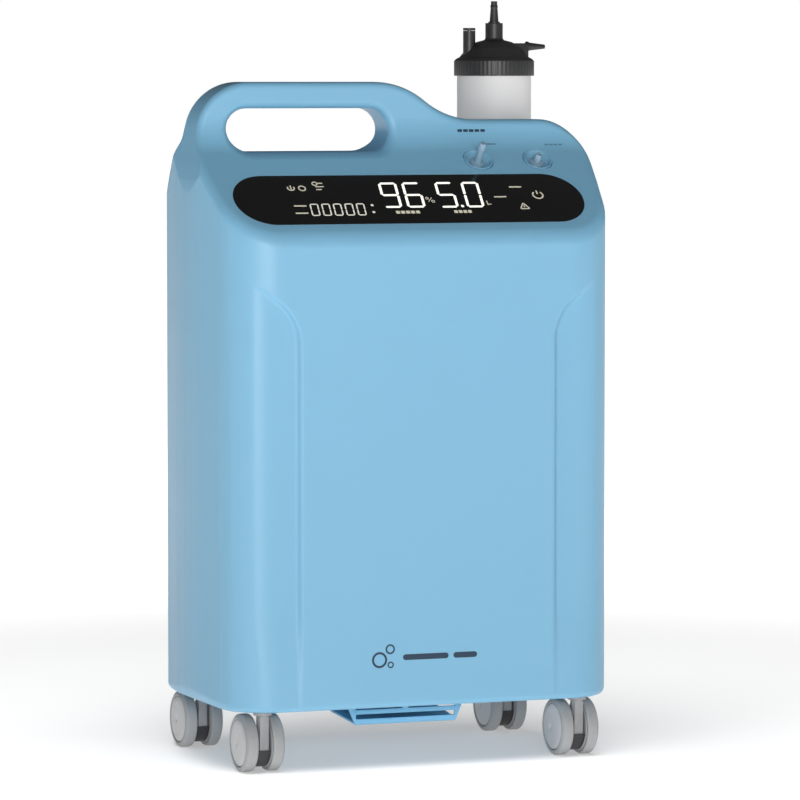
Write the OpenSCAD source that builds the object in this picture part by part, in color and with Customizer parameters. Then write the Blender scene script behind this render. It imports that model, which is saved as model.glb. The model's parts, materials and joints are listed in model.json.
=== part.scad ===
// Five-litre oxygen concentrator on twin-wheel casters, with a bubble humidifier.
// Frame: +X to the user's right, +Y to the back, +Z up; origin on the floor under the middle.
// All sizes are millimetres and degrees.

/* [Cabinet] */
// Width over both sides
body_w = 371; // [340:1:450]
// Depth from front to back
body_d = 232; // [216:1:280]
// Height of the underside above the floor
base_z = 53; // [52:1:70]
// Height of the top of the handle
top_z = 589.5; // [560:0.5:720]
// How far the right shoulder lies below the handle's top
shoulder_drop = 33; // [20:1:45]
// Height of the crease between the front and the sloped panel
crease_z = 458; // [440:1:560]
// Slope of the control panel from level
panel_tilt = 39.2; // [34:0.1:42]
// Wall of the moulded shells
wall = 3; // [2:0.5:4]
// Play between parts that are set into each other
play = 0.4; // [0.2:0.1:0.6]

/* [Handle] */
// Front face of the handle wall, from the middle of the depth
handle_front_y = -15; // [-25:1:-5]
// Back face of the handle wall
handle_back_y = 26; // [20:1:26]
// Length of the hand slot
slot_w = 149; // [110:1:160]
// Height of the hand slot
slot_h = 37.5; // [30:0.5:42]
// Middle of the hand slot from the middle of the width
slot_x = -73.5; // [-80:0.5:-60]
// Bar left above the hand slot
slot_cover = 23; // [18:0.5:30]

/* [Control panel] */
// Length of the display window
window_w = 322; // [240:1:330]
// Height of the display window along the slope
window_h = 64; // [40:1:70]
// Middle of the window up the slope from the crease
window_s = 48.5; // [38:0.5:52]
// Thickness of the window
window_t = 2; // [1.5:0.5:2.5]
// Oxygen outlet from the middle of the width
oxygen_x = 76; // [60:1:90]
// Nebuliser outlet from the middle of the width
nebuliser_x = 132; // [120:1:140]
// Middle of both outlets up the slope from the crease
outlet_s = 101; // [98:0.5:103]
// Diameter of an outlet's cup
cup_d = 26; // [20:1:28]

/* [Humidifier] */
// Outer diameter of the jar
jar_d = 66.5; // [50:0.5:68]
// Height of the jar's body
jar_h = 159; // [140:1:180]
// Wall of the jar
jar_wall = 2.2; // [1.5:0.1:3]
// Diameter of the lid's skirt
lid_d = 72; // [70:0.5:76]
// Niche floor above the floor
niche_z = 445; // [430:1:460]
// Jar's axis from the middle of the width
jar_x = 132; // [120:1:134]
// Jar's axis from the middle of the depth
jar_y = 65; // [63:1:70]
// Rise of the lid in one turn of its thread
lid_lead = 4.5; // [3:0.5:6]

/* [Casters] */
// Diameter of a caster wheel
wheel_d = 50; // [40:1:50]
// Width of one wheel
wheel_w = 12.5; // [10:0.5:16]
// Gap between the two wheels of a caster
wheel_gap = 12; // [10:0.5:14]
// Distance between the left and right casters
track = 291.2; // [260:0.2:300]
// Distance between the front and rear axles
wheelbase = 165; // [140:1:170]
// Distance from the swivel axis back to the axle
trail = 14.5; // [10:0.5:18]
// Diameter of the axle
axle_d = 6; // [5:0.5:8]
// Diameter of the swivel stem
stem_d = 10; // [8:0.5:11]
// Radial clearance of a turning pin
running_fit = 0.08; // [0.02:0.01:0.1]

/* [Works] */
// Diameter of the compressor's motor housing
motor_d = 96; // [80:1:100]
// Length of the compressor's motor housing
motor_l = 84; // [70:1:90]
// Diameter of a sieve bed
bed_d = 60; // [50:1:64]
// Length of a sieve bed
bed_h = 320; // [260:1:330]
// Diameter of the cooling fan's blades
fan_d = 112; // [90:1:114]

/* [Hidden] */

shell_blue = [0.50, 0.72, 0.85];
hood_blue = [0.42, 0.64, 0.78];
lid_black = [0.14, 0.14, 0.15];
nylon_grey = [0.55, 0.56, 0.57];
steel_grey = [0.72, 0.73, 0.75];

shoulder_z = top_z - shoulder_drop;
half_w = body_w / 2;
half_d = body_d / 2;
handle_lean = 11.7;
handle_corner_x = 18.5;
shoulder_r = 42;
step_mid_x = 36;
step_angle = 38;
panel_blend_r = 40;
rear_shoulder_z = crease_z + 24;
rear_slope = 32.8;
// Height where the rear slope meets the handle wall
rear_slope_top_z = rear_shoulder_z + (half_d - handle_back_y) * tan(rear_slope);
big = 1000;
// Overlap that keeps a cut or a joined boss from ending on a shared face
eps = 0.05;

// ---- Rounded outlines -------------------------------------------------------------------

function unit(v) = v / norm(v);
function cross2(a, b) = a[0] * b[1] - a[1] * b[0];
function xy(p) = [p[0], p[1]];
function before(pts, i) = pts[(i + len(pts) - 1) % len(pts)];
function after(pts, i) = pts[(i + 1) % len(pts)];
function inward(d) = [-d[1], d[0]];

// Moves a counter-clockwise outline of [x, y, radius] corners inward by t
function inset_outline(pts, t) = [
    for (i = [0 : len(pts) - 1])
        let (
            d0 = unit(xy(pts[i]) - xy(before(pts, i))),
            d1 = unit(xy(after(pts, i)) - xy(pts[i])),
            n0 = inward(d0),
            n1 = inward(d1),
            p = xy(pts[i]) + t * (n0 + n1) / (1 + n0 * n1),
            r = cross2(d0, d1) > 0 ? pts[i][2] - t : pts[i][2] + t
        )
        [p[0], p[1], max(r, 0.5)]
];

// Points of the outline with an arc of its own radius at each corner
function round_outline(pts) = [
    for (i = [0 : len(pts) - 1])
        let (
            d0 = unit(xy(pts[i]) - xy(before(pts, i))),
            d1 = unit(xy(after(pts, i)) - xy(pts[i])),
            turn = atan2(cross2(d0, d1), d0 * d1),
            side = sign(turn),
            r = pts[i][2],
            start = xy(pts[i]) - d0 * r * tan(abs(turn) / 2),
            centre = start + side * r * inward(d0),
            steps = max(2, ceil(abs(turn) / 12))
        )
        for (k = [0 : steps])
            let (a = turn * k / steps, v = start - centre)
            centre + [v[0] * cos(a) - v[1] * sin(a), v[0] * sin(a) + v[1] * cos(a)]
];

front_taper = 13;
rear_taper = 18.5;
front_corner_r = 46;
rear_corner_r = 52;
// The sides bow out to their widest a little in front of the middle
bow_x = half_w + 3;
bow_y = -12;
bow_r = 260;

// Plan of the cabinet: flat front, gently bowed sides, large corners
function plan_corners() = [
    [-half_w + front_taper, -half_d, front_corner_r],
    [half_w - front_taper, -half_d, front_corner_r],
    [bow_x, bow_y, bow_r],
    [half_w - rear_taper, half_d, rear_corner_r],
    [-half_w + rear_taper, half_d, rear_corner_r],
    [-bow_x, bow_y, bow_r]
];

// Front outline, as [x, z, radius]: low right shoulder, step up to the leaning handle
function front_corners() =
    let (
        step_half = shoulder_drop / 2 / tan(step_angle),
        step_r = 0.98 * norm([step_half, shoulder_drop / 2]) / tan(step_angle / 2),
        lean_z = top_z - (handle_corner_x / tan(handle_lean))
    )
    [
        [-half_w, base_z, 15],
        [half_w, base_z, 15],
        [half_w, shoulder_z, shoulder_r],
        [step_mid_x + step_half, shoulder_z, step_r],
        [step_mid_x - step_half, top_z, step_r],
        [-half_w + handle_corner_x, top_z, 48],
        [-half_w, lean_z, 160]
    ];

// Side outline, as [y, z, radius]: sloped panel, handle wall, rear slope
function side_corners() = [
    [-half_d, base_z, 5],
    [half_d, base_z, 5],
    [half_d, rear_shoulder_z, 26],
    [handle_back_y, rear_slope_top_z, 8],
    [handle_back_y, top_z, 6],
    [handle_front_y, top_z, 6],
    [handle_front_y, crease_z + (handle_front_y + half_d) * tan(panel_tilt), panel_blend_r],
    [-half_d, crease_z, 6]
];

module plan(t) { polygon(round_outline(inset_outline(plan_corners(), t))); }
module front_outline(t) { polygon(round_outline(inset_outline(front_corners(), t))); }
module side_outline(t) { polygon(round_outline(inset_outline(side_corners(), t))); }

// The cabinet's outer form, moved inward by t
module cabinet(t) {
    intersection() {
        linear_extrude(height = top_z + 10) plan(t);
        translate([0, half_d + 1, 0]) rotate([90, 0, 0])
            linear_extrude(height = body_d + 2) front_outline(t);
        translate([-half_w - 1, 0, 0]) rotate([90, 0, 90])
            linear_extrude(height = body_w + 2) side_outline(t);
    }
}

// The two shells meet just in front of the handle's back wall
part_y = handle_back_y - wall - 3;
module front_half() { translate([-big / 2, -big, 0]) cube([big, big + part_y, big]); }
module rear_half() { translate([-big / 2, part_y, 0]) cube([big, big, big]); }

// ---- Shared places ----------------------------------------------------------------------

// Places its children on the sloped panel: X across, Y up the slope, Z out of the panel
module on_panel(x, s) {
    translate([0, -half_d, crease_z]) rotate([panel_tilt, 0, 0]) translate([x, s, 0]) children();
}

module stadium(w, h) {
    square([w - h, h], center = true);
    for (side = [-1, 1]) translate([side * (w - h) / 2, 0]) circle(d = h, $fn = 64);
}

module tube(r_out, r_in, h) {
    difference() {
        cylinder(r = r_out, h = h, $fn = 64);
        translate([0, 0, -1]) cylinder(r = r_in, h = h + 2, $fn = 64);
    }
}

slot_z = top_z - slot_cover - slot_h / 2;
window_x = -3;
ledge = 5;

// The hand slot's space, grown by t
module hand_slot(t) {
    translate([slot_x, half_d, slot_z]) rotate([90, 0, 0])
        linear_extrude(height = body_d) stadium(slot_w + 2 * t, slot_h + 2 * t);
}

screw_r = 1.95;
screw_head_r = 3.8;
handle_screw_len = 18;
floor_screw_len = 9;
screw_boss_r = 5.5;
floor_boss_r = 4.5;
floor_head_t = 1.8;
handle_screw_seat_y = part_y - 3.5;

handle_screw_z = slot_z - 12;
// Where the two slopes stand at the height of the handle's screws
panel_y_at_screws = -half_d + (handle_screw_z - crease_z) / tan(panel_tilt);
rear_y_at_screws = half_d - (handle_screw_z - rear_shoulder_z) / tan(rear_slope);
front_boss_y = min(handle_front_y, panel_y_at_screws) - 3;
rear_boss_y = max(handle_back_y, rear_y_at_screws) + 1;

// Places its children on the two screws through the handle, Z pointing to the back
module at_handle_screws() {
    for (x = [slot_x - slot_w / 2 - 14, slot_x + slot_w / 2 + 22])
        translate([x, 0, handle_screw_z]) rotate([-90, 0, 0]) children();
}

// Places its children on the screws through the floor, Z pointing up
module at_floor_screws() {
    for (x = [-100, 0, 100], side = [-1, 1])
        translate([x, side * (half_d - 16), base_z]) children();
}

niche_wall_y = handle_back_y + 2;
niche_x0 = jar_x - lid_d / 2 - 3.5;
niche_x1 = jar_x + lid_d / 2 + 3.5;
niche_rim_h = 8;

// The humidifier's niche, open to the top and the back, grown by t
module niche(t) {
    translate([niche_x0 - t, niche_wall_y - t, niche_z - t])
        cube([niche_x1 - niche_x0 + 2 * t, body_d, big]);
}

// ---- Shells -----------------------------------------------------------------------------

flank_x = 118;
flank_step = 1.2;
flank_z0 = 78;
flank_z1 = 389;
flank_z2 = 427;

// The shallow step beside the raised middle of the front
module flank_cuts() {
    for (side = [-1, 1])
        translate([0, -half_d + flank_step, 0]) rotate([90, 0, 0]) linear_extrude(height = 10)
            polygon([
                [side * flank_x, flank_z0], [side * flank_x, flank_z1],
                [side * (half_w - 16), flank_z2], [side * (half_w + 1), flank_z2],
                [side * (half_w + 1), flank_z0]
            ]);
}

board_w = 284;
board_h = 48;
board_gap = 5.5;

module board_posts() {
    for (x = [-1, 1], s = [-1, 1])
        on_panel(window_x + x * (window_w / 2 - 4), window_s + s * (window_h / 2 - 2))
            translate([0, 0, -board_gap - 2]) cylinder(r = 3, h = board_gap + 1, $fn = 32);
}

cup_depth = 7;
cup_wall = 1.5;

module cup_holes() {
    for (x = [oxygen_x, nebuliser_x])
        on_panel(x, outlet_s) translate([0, 0, -30]) cylinder(d = cup_d + 2 * play, h = 60, $fn = 64);
}

module window_cut() {
    on_panel(window_x, window_s) {
        translate([0, 0, -window_t]) linear_extrude(height = 20)
            stadium(window_w + play, window_h + play);
        translate([0, 0, -20]) linear_extrude(height = 30)
            stadium(window_w - 2 * ledge, window_h - 2 * ledge);
    }
}

module hollow_cabinet() {
    difference() {
        cabinet(0);
        difference() {
            cabinet(wall);
            hand_slot(wall);
        }
        hand_slot(0);
    }
}

caster_xs = [-track / 2, track / 2];
front_axle_y = -wheelbase / 2;
rear_axle_y = wheelbase / 2;

module stem_holes() {
    for (x = caster_xs, y = [front_axle_y, rear_axle_y])
        translate([x, y - trail, base_z - 1]) cylinder(d = socket_d + play, h = wall + 4, $fn = 64);
}

socket_d = 18;
hood_x = 56;
hood_port_x = 40;
hood_y0 = -50;
hood_y1 = 0;

module exhaust_port() {
    translate([-hood_port_x, hood_y0 + 8, base_z - 1])
        cube([2 * hood_port_x, hood_y1 - hood_y0 - 16, wall + 4]);
}

// Countersunk holes in the floor
module floor_screw_cuts() {
    at_floor_screws() {
        translate([0, 0, -1]) cylinder(r = screw_r + 0.05, h = wall + 2, $fn = 32);
        translate([0, 0, -1]) cylinder(r = screw_head_r + 0.2, h = floor_head_t + 1, $fn = 32);
    }
}

module front_shell() {
    color(shell_blue) difference() {
        union() {
            intersection() { hollow_cabinet(); front_half(); }
            intersection() {
                cabinet(0);
                union() {
                    at_handle_screws() translate([0, 0, front_boss_y])
                        cylinder(r = screw_boss_r, h = handle_screw_seat_y - 2 - front_boss_y, $fn = 32);
                    board_posts();
                }
            }
        }
        at_handle_screws() translate([0, 0, handle_front_y + 6])
            cylinder(r = screw_r + 0.05, h = 60, $fn = 32);
        floor_screw_cuts();
        flank_cuts();
        window_cut();
        cup_holes();
        stem_holes();
        exhaust_port();
        niche(0);
    }
}

door_w = 120;
door_h = 96;
door_z = 300;
door_t = 3;
inlet_x = 92;
inlet_z = 88;
inlet_w = 28;
inlet_h = 21;
breaker_x = 52;
breaker_d = 12;

door_recess = 9;

// Openings behind the intake door, between the bars that the filter lies on
module intake_slots() {
    for (i = [-1 : 1])
        translate([i * 36 - 16, half_d - door_recess - 2 * wall, door_z - door_h / 2 + 8])
            cube([32, 4 * wall, door_h - 16]);
}

module rear_cover() {
    color(shell_blue) difference() {
        union() {
            intersection() { hollow_cabinet(); rear_half(); }
            intersection() {
                cabinet(0);
                at_handle_screws() translate([0, 0, handle_screw_seat_y - 1.5])
                    cylinder(r = screw_boss_r, h = rear_boss_y - handle_screw_seat_y + 1.5, $fn = 32);
            }
            intersection() {
                cabinet(0);
                rear_half();
                union() {
                    niche(wall);
                    translate([-door_w / 2 - wall, half_d - door_recess - wall, door_z - door_h / 2 - wall])
                        cube([door_w + 2 * wall, door_recess + wall, door_h + 2 * wall]);
                }
            }
        }
        difference() {
            niche(0);
            translate([jar_x, jar_y, niche_z - 1])
                tube(jar_d / 2 + 4, jar_d / 2 + play, niche_rim_h + 1);
        }
        at_handle_screws() cylinder(r = screw_r + 0.25, h = 60, $fn = 32);
        at_handle_screws() translate([0, 0, handle_screw_seat_y])
            cylinder(r = screw_head_r + 0.6, h = half_d, $fn = 32);
        floor_screw_cuts();
        translate([-door_w / 2, half_d - door_recess, door_z - door_h / 2])
            cube([door_w, door_recess + 1, door_h]);
        intake_slots();
        translate([inlet_x - inlet_w / 2 - play, half_d - 20, inlet_z - inlet_h / 2 - play])
            cube([inlet_w + 2 * play, 40, inlet_h + 2 * play]);
        translate([breaker_x, half_d - 20, inlet_z]) rotate([-90, 0, 0])
            cylinder(d = breaker_d + 2 * play, h = 40, $fn = 48);
        stem_holes();
    }
}

// One screw of shank length l, with its head's seat at Z = 0 and a cross recess
module screw(l) {
    translate([0, 0, -l]) cylinder(r = screw_r, h = l, $fn = 32);
    difference() {
        cylinder(r = screw_head_r, h = floor_head_t, $fn = 32);
        for (a = [0, 90]) rotate(a) translate([-2, -0.5, floor_head_t - 1]) cube([4, 1, 2]);
    }
}

module cover_screws() {
    color(steel_grey) {
        at_handle_screws() translate([0, 0, handle_screw_seat_y + 0.02]) screw(handle_screw_len);
        at_floor_screws() translate([0, 0, floor_head_t - 0.02]) rotate([180, 0, 0]) screw(floor_screw_len);
    }
}

plate_t = 2;
plate_z = base_z + wall;

// Steel floor plate that carries the casters and the works
module base_plate() {
    color(steel_grey) difference() {
        union() {
            intersection() {
                translate([0, 0, plate_z]) linear_extrude(height = plate_t) plan(wall + play + 3);
                translate([-half_w + 18, -half_d, base_z]) cube([body_w - 36, body_d, 20]);
            }
            at_floor_screws() translate([0, 0, wall + eps]) cylinder(r = floor_boss_r, h = 7, $fn = 32);
        }
        stem_holes();
        exhaust_port();
        at_floor_screws() cylinder(r = screw_r + 0.05, h = 60, $fn = 32);
    }
}

hood_drop = 21.5;
hood_wall = 2.5;

// Duct under the cabinet that turns the exhaust air to the sides and the front
module exhaust_hood() {
    hood_z = base_z - hood_drop;
    color(hood_blue) difference() {
        rotate([90, 0, 90]) translate([0, 0, -hood_x]) linear_extrude(height = 2 * hood_x)
            polygon([
                [hood_y0 - 8, base_z], [hood_y0 - 8, hood_z], [hood_y1, hood_z + 5], [hood_y1 + 8, base_z]
            ]);
        rotate([90, 0, 90]) translate([0, 0, -big / 2]) linear_extrude(height = big)
            polygon([
                [hood_y0 - 8 + hood_wall, base_z + 1], [hood_y0 - 8 + hood_wall, hood_z + hood_wall],
                [hood_y1 - 1, hood_z + 5 + hood_wall], [hood_y1 + 4, base_z + 1]
            ]);
        // Sloping ends: narrower at the bottom
        for (side = [-1, 1])
            translate([side * hood_x, 0, base_z]) rotate([0, side * 23, 0])
                translate([side > 0 ? 0 : -20, -60, -40]) cube([20, 120, 60]);
        // Air slots in the front face
        translate([-46, hood_y0 - 10, hood_z + 5]) cube([92, 6, 4]);
        for (x = [-46, 3]) translate([x, hood_y0 - 10, hood_z + 13]) cube([43, 6, 4]);
    }
}

// ---- Control panel ----------------------------------------------------------------------

module display_window() {
    color([0.10, 0.10, 0.11]) on_panel(window_x, window_s)
        translate([0, 0, -window_t]) linear_extrude(height = window_t) stadium(window_w, window_h);
}

module display_board() {
    color([0.12, 0.35, 0.22]) on_panel(window_x, window_s) {
        translate([-board_w / 2, -board_h / 2, -board_gap - 1.6]) cube([board_w, board_h, 1.6]);
        // Light-bar module behind the digits, and two connectors
        translate([-60, -18, -board_gap - eps]) cube([150, 36, board_gap - window_t - 1]);
        for (x = [-110, 120]) translate([x, -8, -board_gap - 9]) cube([12, 16, 8]);
    }
}

// A round recessed cup with a flange, set into the panel
module outlet_cup(x) {
    color([0.48, 0.66, 0.76]) on_panel(x, outlet_s) difference() {
        translate([0, 0, -cup_depth]) cylinder(d = cup_d, h = cup_depth + 0.4, $fn = 64);
        translate([0, 0, -cup_depth + cup_wall]) cylinder(d = cup_d - 2 * cup_wall, h = 20, $fn = 64);
        translate([0, 0, -cup_depth - 1]) cylinder(d = nozzle_d + 2 * play, h = 10, $fn = 48);
    }
}

nozzle_d = 8;
nozzle_bore = 3;

// A barbed hose nozzle: shank, base flange, stem and two barbs
module nozzle(x, length) {
    color([0.62, 0.68, 0.76]) on_panel(x, outlet_s) translate([0, 0, -cup_depth]) difference() {
        union() {
            translate([0, 0, -8]) cylinder(d = nozzle_d, h = 9.7, $fn = 48);
            translate([0, 0, cup_wall + eps]) cylinder(d = nozzle_d + 5, h = 3, $fn = 6);
            translate([0, 0, cup_wall + 2]) cylinder(d = nozzle_d - 2.5, h = length, $fn = 48);
            for (k = [0, 1])
                translate([0, 0, cup_wall + length - 1 - 4.5 * k])
                    cylinder(r1 = (nozzle_d - 0.6) / 2, r2 = (nozzle_d - 2.6) / 2, h = 3.5, $fn = 48);
        }
        translate([0, 0, -10]) cylinder(d = nozzle_bore, h = length + 30, $fn = 32);
    }
}

module oxygen_cup() { outlet_cup(oxygen_x); }
module nebuliser_cup() { outlet_cup(nebuliser_x); }
module oxygen_nozzle() { nozzle(oxygen_x, 22); }
module nebuliser_nozzle() { nozzle(nebuliser_x, 9); }

// ---- Humidifier -------------------------------------------------------------------------

jar_r = jar_d / 2;
jar_top_z = niche_z + jar_h;
skirt_h = 13.3;
skirt_z = jar_top_z - 9.3;
gasket_t = 1.5;
lid_roof_z = skirt_z + skirt_h;
dome_z = lid_roof_z + 19;
boss_r = 7.85;
boss_top_z = dome_z + 15;
dip_r = 3.2;
relief_x = -24;
relief_r = 5.5;
relief_bore_r = 4.2;
relief_top_z = boss_top_z - 7;
horn_z = dome_z - 6;
horn_tip = 49;
water_z = niche_z + 100;

module at_jar(z) { translate([jar_x, jar_y, z]) children(); }

module humidifier_jar() {
    color([0.80, 0.81, 0.82, 0.7]) at_jar(niche_z) difference() {
        cylinder(r = jar_r, h = jar_h, $fn = 96);
        translate([0, 0, 3]) cylinder(r = jar_r - jar_wall, h = jar_h, $fn = 96);
    }
}

module humidifier_water() {
    color([0.72, 0.83, 0.90, 0.6]) at_jar(niche_z + 3 + eps)
        tube(jar_r - jar_wall - eps, diffuser_r + 0.6, water_z - niche_z);
}

module humidifier_lid() {
    skirt_in = jar_r + play;
    color(lid_black) at_jar(0) difference() {
        union() {
            rotate_extrude($fn = 96) polygon([
                [0, skirt_z], [lid_d / 2, skirt_z], [lid_d / 2, lid_roof_z], [lid_d / 2 - 2, lid_roof_z + 2],
                [31, lid_roof_z + 3.5], [24, lid_roof_z + 12], [16, lid_roof_z + 17], [boss_r, dome_z],
                [boss_r, boss_top_z], [0, boss_top_z]
            ]);
            translate([relief_x, 0, lid_roof_z])
                cylinder(r = relief_r, h = relief_top_z - lid_roof_z, $fn = 48);
            translate([17, -7, lid_roof_z + 1]) cube([14, 14, horn_z + 3 - lid_roof_z]);
        }
        // Hollow under the dome, with the seat of the gasket
        rotate_extrude($fn = 96) polygon([
            [0, skirt_z - 1], [skirt_in, skirt_z - 1], [skirt_in, jar_top_z + gasket_t],
            [28, jar_top_z + gasket_t], [27, lid_roof_z + 2], [20, lid_roof_z + 10],
            [boss_r + 1, dome_z - 4], [0, dome_z - 4]
        ]);
        translate([0, 0, dome_z - 10]) cylinder(r = dip_r + 0.1, h = 60, $fn = 48);
        translate([relief_x, 0, relief_seat_z]) cylinder(r = relief_bore_r, h = 60, $fn = 48);
        translate([relief_x, 0, lid_roof_z - 10]) cylinder(r = 1.5, h = 60, $fn = 32);
        translate([10, 0, horn_z]) rotate([0, 90, 0]) cylinder(r = 1.2, h = 40, $fn = 32);
        translate([20, 0, lid_roof_z - 2]) cylinder(r = 1.2, h = horn_z - lid_roof_z + 2, $fn = 32);
    }
}

module lid_gasket() {
    color([0.75, 0.75, 0.72]) at_jar(jar_top_z + 0.02)
        tube(jar_r - 0.2, jar_r - jar_wall - 1.5, gasket_t - 0.1);
}

// Tapered inlet fitting pressed into the lid's boss
module inlet_barb() {
    color(lid_black) at_jar(boss_top_z) difference() {
        union() {
            translate([0, 0, 0.02]) cylinder(r = 5.2, h = 1.2, $fn = 48);
            cylinder(r1 = 4.1, r2 = 2.7, h = 19.5, $fn = 48);
            translate([0, 0, 14]) cylinder(r1 = 3.6, r2 = 2.7, h = 3, $fn = 48);
        }
        translate([0, 0, -1]) cylinder(r = 1.5, h = 30, $fn = 32);
    }
}

relief_seat_z = lid_roof_z + 11;
relief_travel = 2.5;

// Popping cap of the pressure-relief valve: disc on the seat, stem and cap
module relief_cap() {
    color(lid_black) at_jar(relief_seat_z) translate([relief_x, 0, 0.02]) {
        cylinder(r = relief_bore_r - 0.3, h = 1.2, $fn = 48);
        cylinder(r = 1.2, h = relief_top_z - relief_seat_z + 1, $fn = 32);
        translate([0, 0, relief_top_z - relief_seat_z + 0.3]) cylinder(r = relief_r, h = 2.2, $fn = 48);
    }
}

// Spring round the relief valve's stem, drawn as its sleeve
module relief_spring() {
    color(steel_grey) at_jar(relief_seat_z + 1.3) translate([relief_x, 0, 0])
        tube(2.6, 1.8, relief_top_z - relief_seat_z - 1.2);
}

module outlet_horn() {
    color(lid_black) at_jar(horn_z) difference() {
        union() {
            translate([31.02, 0, 0]) rotate([0, 90, 0]) cylinder(r = 4.6, h = 2, $fn = 48);
            translate([31.02, 0, 0]) rotate([0, 90, 0])
                cylinder(r1 = 4, r2 = 1.9, h = horn_tip - 31, $fn = 48);
        }
        translate([20, 0, 0]) rotate([0, 90, 0]) cylinder(r = 1.1, h = 40, $fn = 32);
    }
}

diffuser_r = 8;
diffuser_h = 14;

module dip_tube() {
    color([0.85, 0.86, 0.86]) at_jar(niche_z + 8 + diffuser_h - 3)
        tube(dip_r, 2, boss_top_z - niche_z - 8 - diffuser_h + 3 - 1);
}

// Porous block that breaks the oxygen into bubbles
module diffuser() {
    color([0.78, 0.80, 0.80]) at_jar(niche_z + 8) difference() {
        cylinder(r = diffuser_r, h = diffuser_h, $fn = 64);
        translate([0, 0, diffuser_h - 3.05]) cylinder(r = dip_r + 0.05, h = 10, $fn = 48);
    }
}

// ---- Back -------------------------------------------------------------------------------

door_gap = 0.6;
door_y = half_d - door_t;
door_hinge_r = 3;
door_hinge_z = door_z + door_h / 2 - 4;
// Space over the door's top edge, which swings inward as the door opens
door_swing_gap = 2.4;

// Louvred door over the intake filter, hinged on a barrel at its top
module filter_door() {
    color(shell_blue) difference() {
        union() {
            translate([-door_w / 2 + door_gap, door_y, door_z - door_h / 2 + door_gap])
                cube([door_w - 2 * door_gap, door_t, door_h - 2 * door_gap - door_swing_gap]);
            translate([0, door_y - 0.5, door_hinge_z]) rotate([0, 90, 0])
                cylinder(r = door_hinge_r, h = door_w - 8, $fn = 32, center = true);
        }
        for (k = [0 : 5])
            translate([-door_w / 2 + 12, door_y - 4, door_z - door_h / 2 + 16 + k * 10])
                cube([door_w - 24, 12, 4]);
        // Finger notch at the bottom edge
        translate([0, door_y - 1, door_z - door_h / 2]) rotate([-90, 0, 0])
            cylinder(r = 8, h = 12, $fn = 48);
    }
}

// Foam pad behind the door
module intake_filter() {
    color([0.25, 0.26, 0.28])
        translate([-door_w / 2 + 1, half_d - door_recess + 0.1, door_z - door_h / 2 + 1])
            cube([door_w - 2, door_recess - door_t - 3.1, door_h - 14]);
}

module power_inlet() {
    color([0.10, 0.10, 0.11]) translate([inlet_x, half_d, inlet_z]) difference() {
        union() {
            translate([-inlet_w / 2, -18, -inlet_h / 2]) cube([inlet_w, 18, inlet_h]);
            translate([-inlet_w / 2 - 9, -wall - 5, -inlet_h / 2 - 3])
                cube([inlet_w + 18, 2, inlet_h + 6]);
        }
        // Plug socket: a recess with three blades
        translate([0, -14, 0]) difference() {
            translate([-12, 0, -8]) cube([24, 20, 16]);
            for (x = [-7, 0, 7])
                translate([x - 1, -0.05, (x == 0 ? 2 : -2) - 2]) cube([2, 12, 4]);
        }
    }
}

breaker_l = 20;
button_r = 4;

module breaker_body() {
    color([0.10, 0.10, 0.11])
    translate([breaker_x, half_d - wall, inlet_z]) rotate([-90, 0, 0]) difference() {
        union() {
            translate([0, 0, -breaker_l + 1]) cylinder(d = breaker_d, h = breaker_l - 1 + wall, $fn = 48);
            translate([-9, -7, -breaker_l]) cube([18, 14, breaker_l - 4]);
        }
        translate([0, 0, -14]) cylinder(r = button_r + 0.4, h = 30, $fn = 48);
    }
}

// Button that pops out when the breaker trips and is pressed back in
module breaker_button() {
    color([0.75, 0.12, 0.10]) translate([breaker_x, half_d - wall, inlet_z]) rotate([-90, 0, 0])
        translate([0, 0, -9]) cylinder(r = button_r, h = 9 + wall - 0.5, $fn = 48);
}

// ---- Casters ----------------------------------------------------------------------------

wheel_r = wheel_d / 2;
wheel_offset = (wheel_gap + wheel_w) / 2;
hub_r = 9;
head_r = 8;
head_z = base_z - 2.8;
column_w = 8;
web_w = wheel_gap - 1.4;
stem_top_z = plate_z + plate_t + 22;

// Black plastic bushes in the floor plate, one for each swivel stem
module caster_sockets() {
    color([0.15, 0.15, 0.16])
        for (x = caster_xs, y = [front_axle_y, rear_axle_y])
            translate([x, y - trail, base_z]) difference() {
                union() {
                    cylinder(d = socket_d, h = stem_top_z - base_z + 2, $fn = 64);
                    translate([0, 0, wall + plate_t]) cylinder(d = socket_d + 8, h = 4, $fn = 64);
                }
                translate([0, 0, -1])
                    cylinder(r = stem_d / 2 + running_fit, h = stem_top_z - base_z + 1.4, $fn = 64);
            }
}

// Swivelling frame: stem, head, leaning column, axle boss and the dark web between the wheels
module caster_frame(x, y) {
    color(nylon_grey) translate([x, y, 0]) difference() {
        union() {
            translate([0, -trail, head_z - 1]) cylinder(d = stem_d, h = stem_top_z - head_z + 1, $fn = 64);
            translate([0, -trail, head_z]) cylinder(r = head_r, h = base_z - head_z - 0.4, $fn = 64);
            translate([0, -trail, wheel_r + 12])
                cylinder(d = stem_d, h = head_z - wheel_r - 12 + eps, $fn = 64);
            rotate([90, 0, 90]) translate([0, 0, -column_w / 2]) linear_extrude(height = column_w)
                polygon([
                    [-trail - stem_d / 2, head_z - 1], [-trail - 4, wheel_r - 6], [hub_r - 2, wheel_r - 6],
                    [hub_r, wheel_r + 2], [-trail + stem_d / 2, wheel_r + 16],
                    [-trail + stem_d / 2, head_z - 1]
                ]);
            intersection() {
                translate([0, 0, wheel_r]) rotate([0, 90, 0])
                    cylinder(r = wheel_r - 4, h = web_w, $fn = 96, center = true);
                translate([-20, -40, 0]) cube([40, 80, wheel_r - 5]);
            }
        }
        translate([0, 0, wheel_r]) rotate([0, 90, 0])
            cylinder(r = axle_d / 2 + 0.02, h = 60, $fn = 48, center = true);
    }
}

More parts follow.
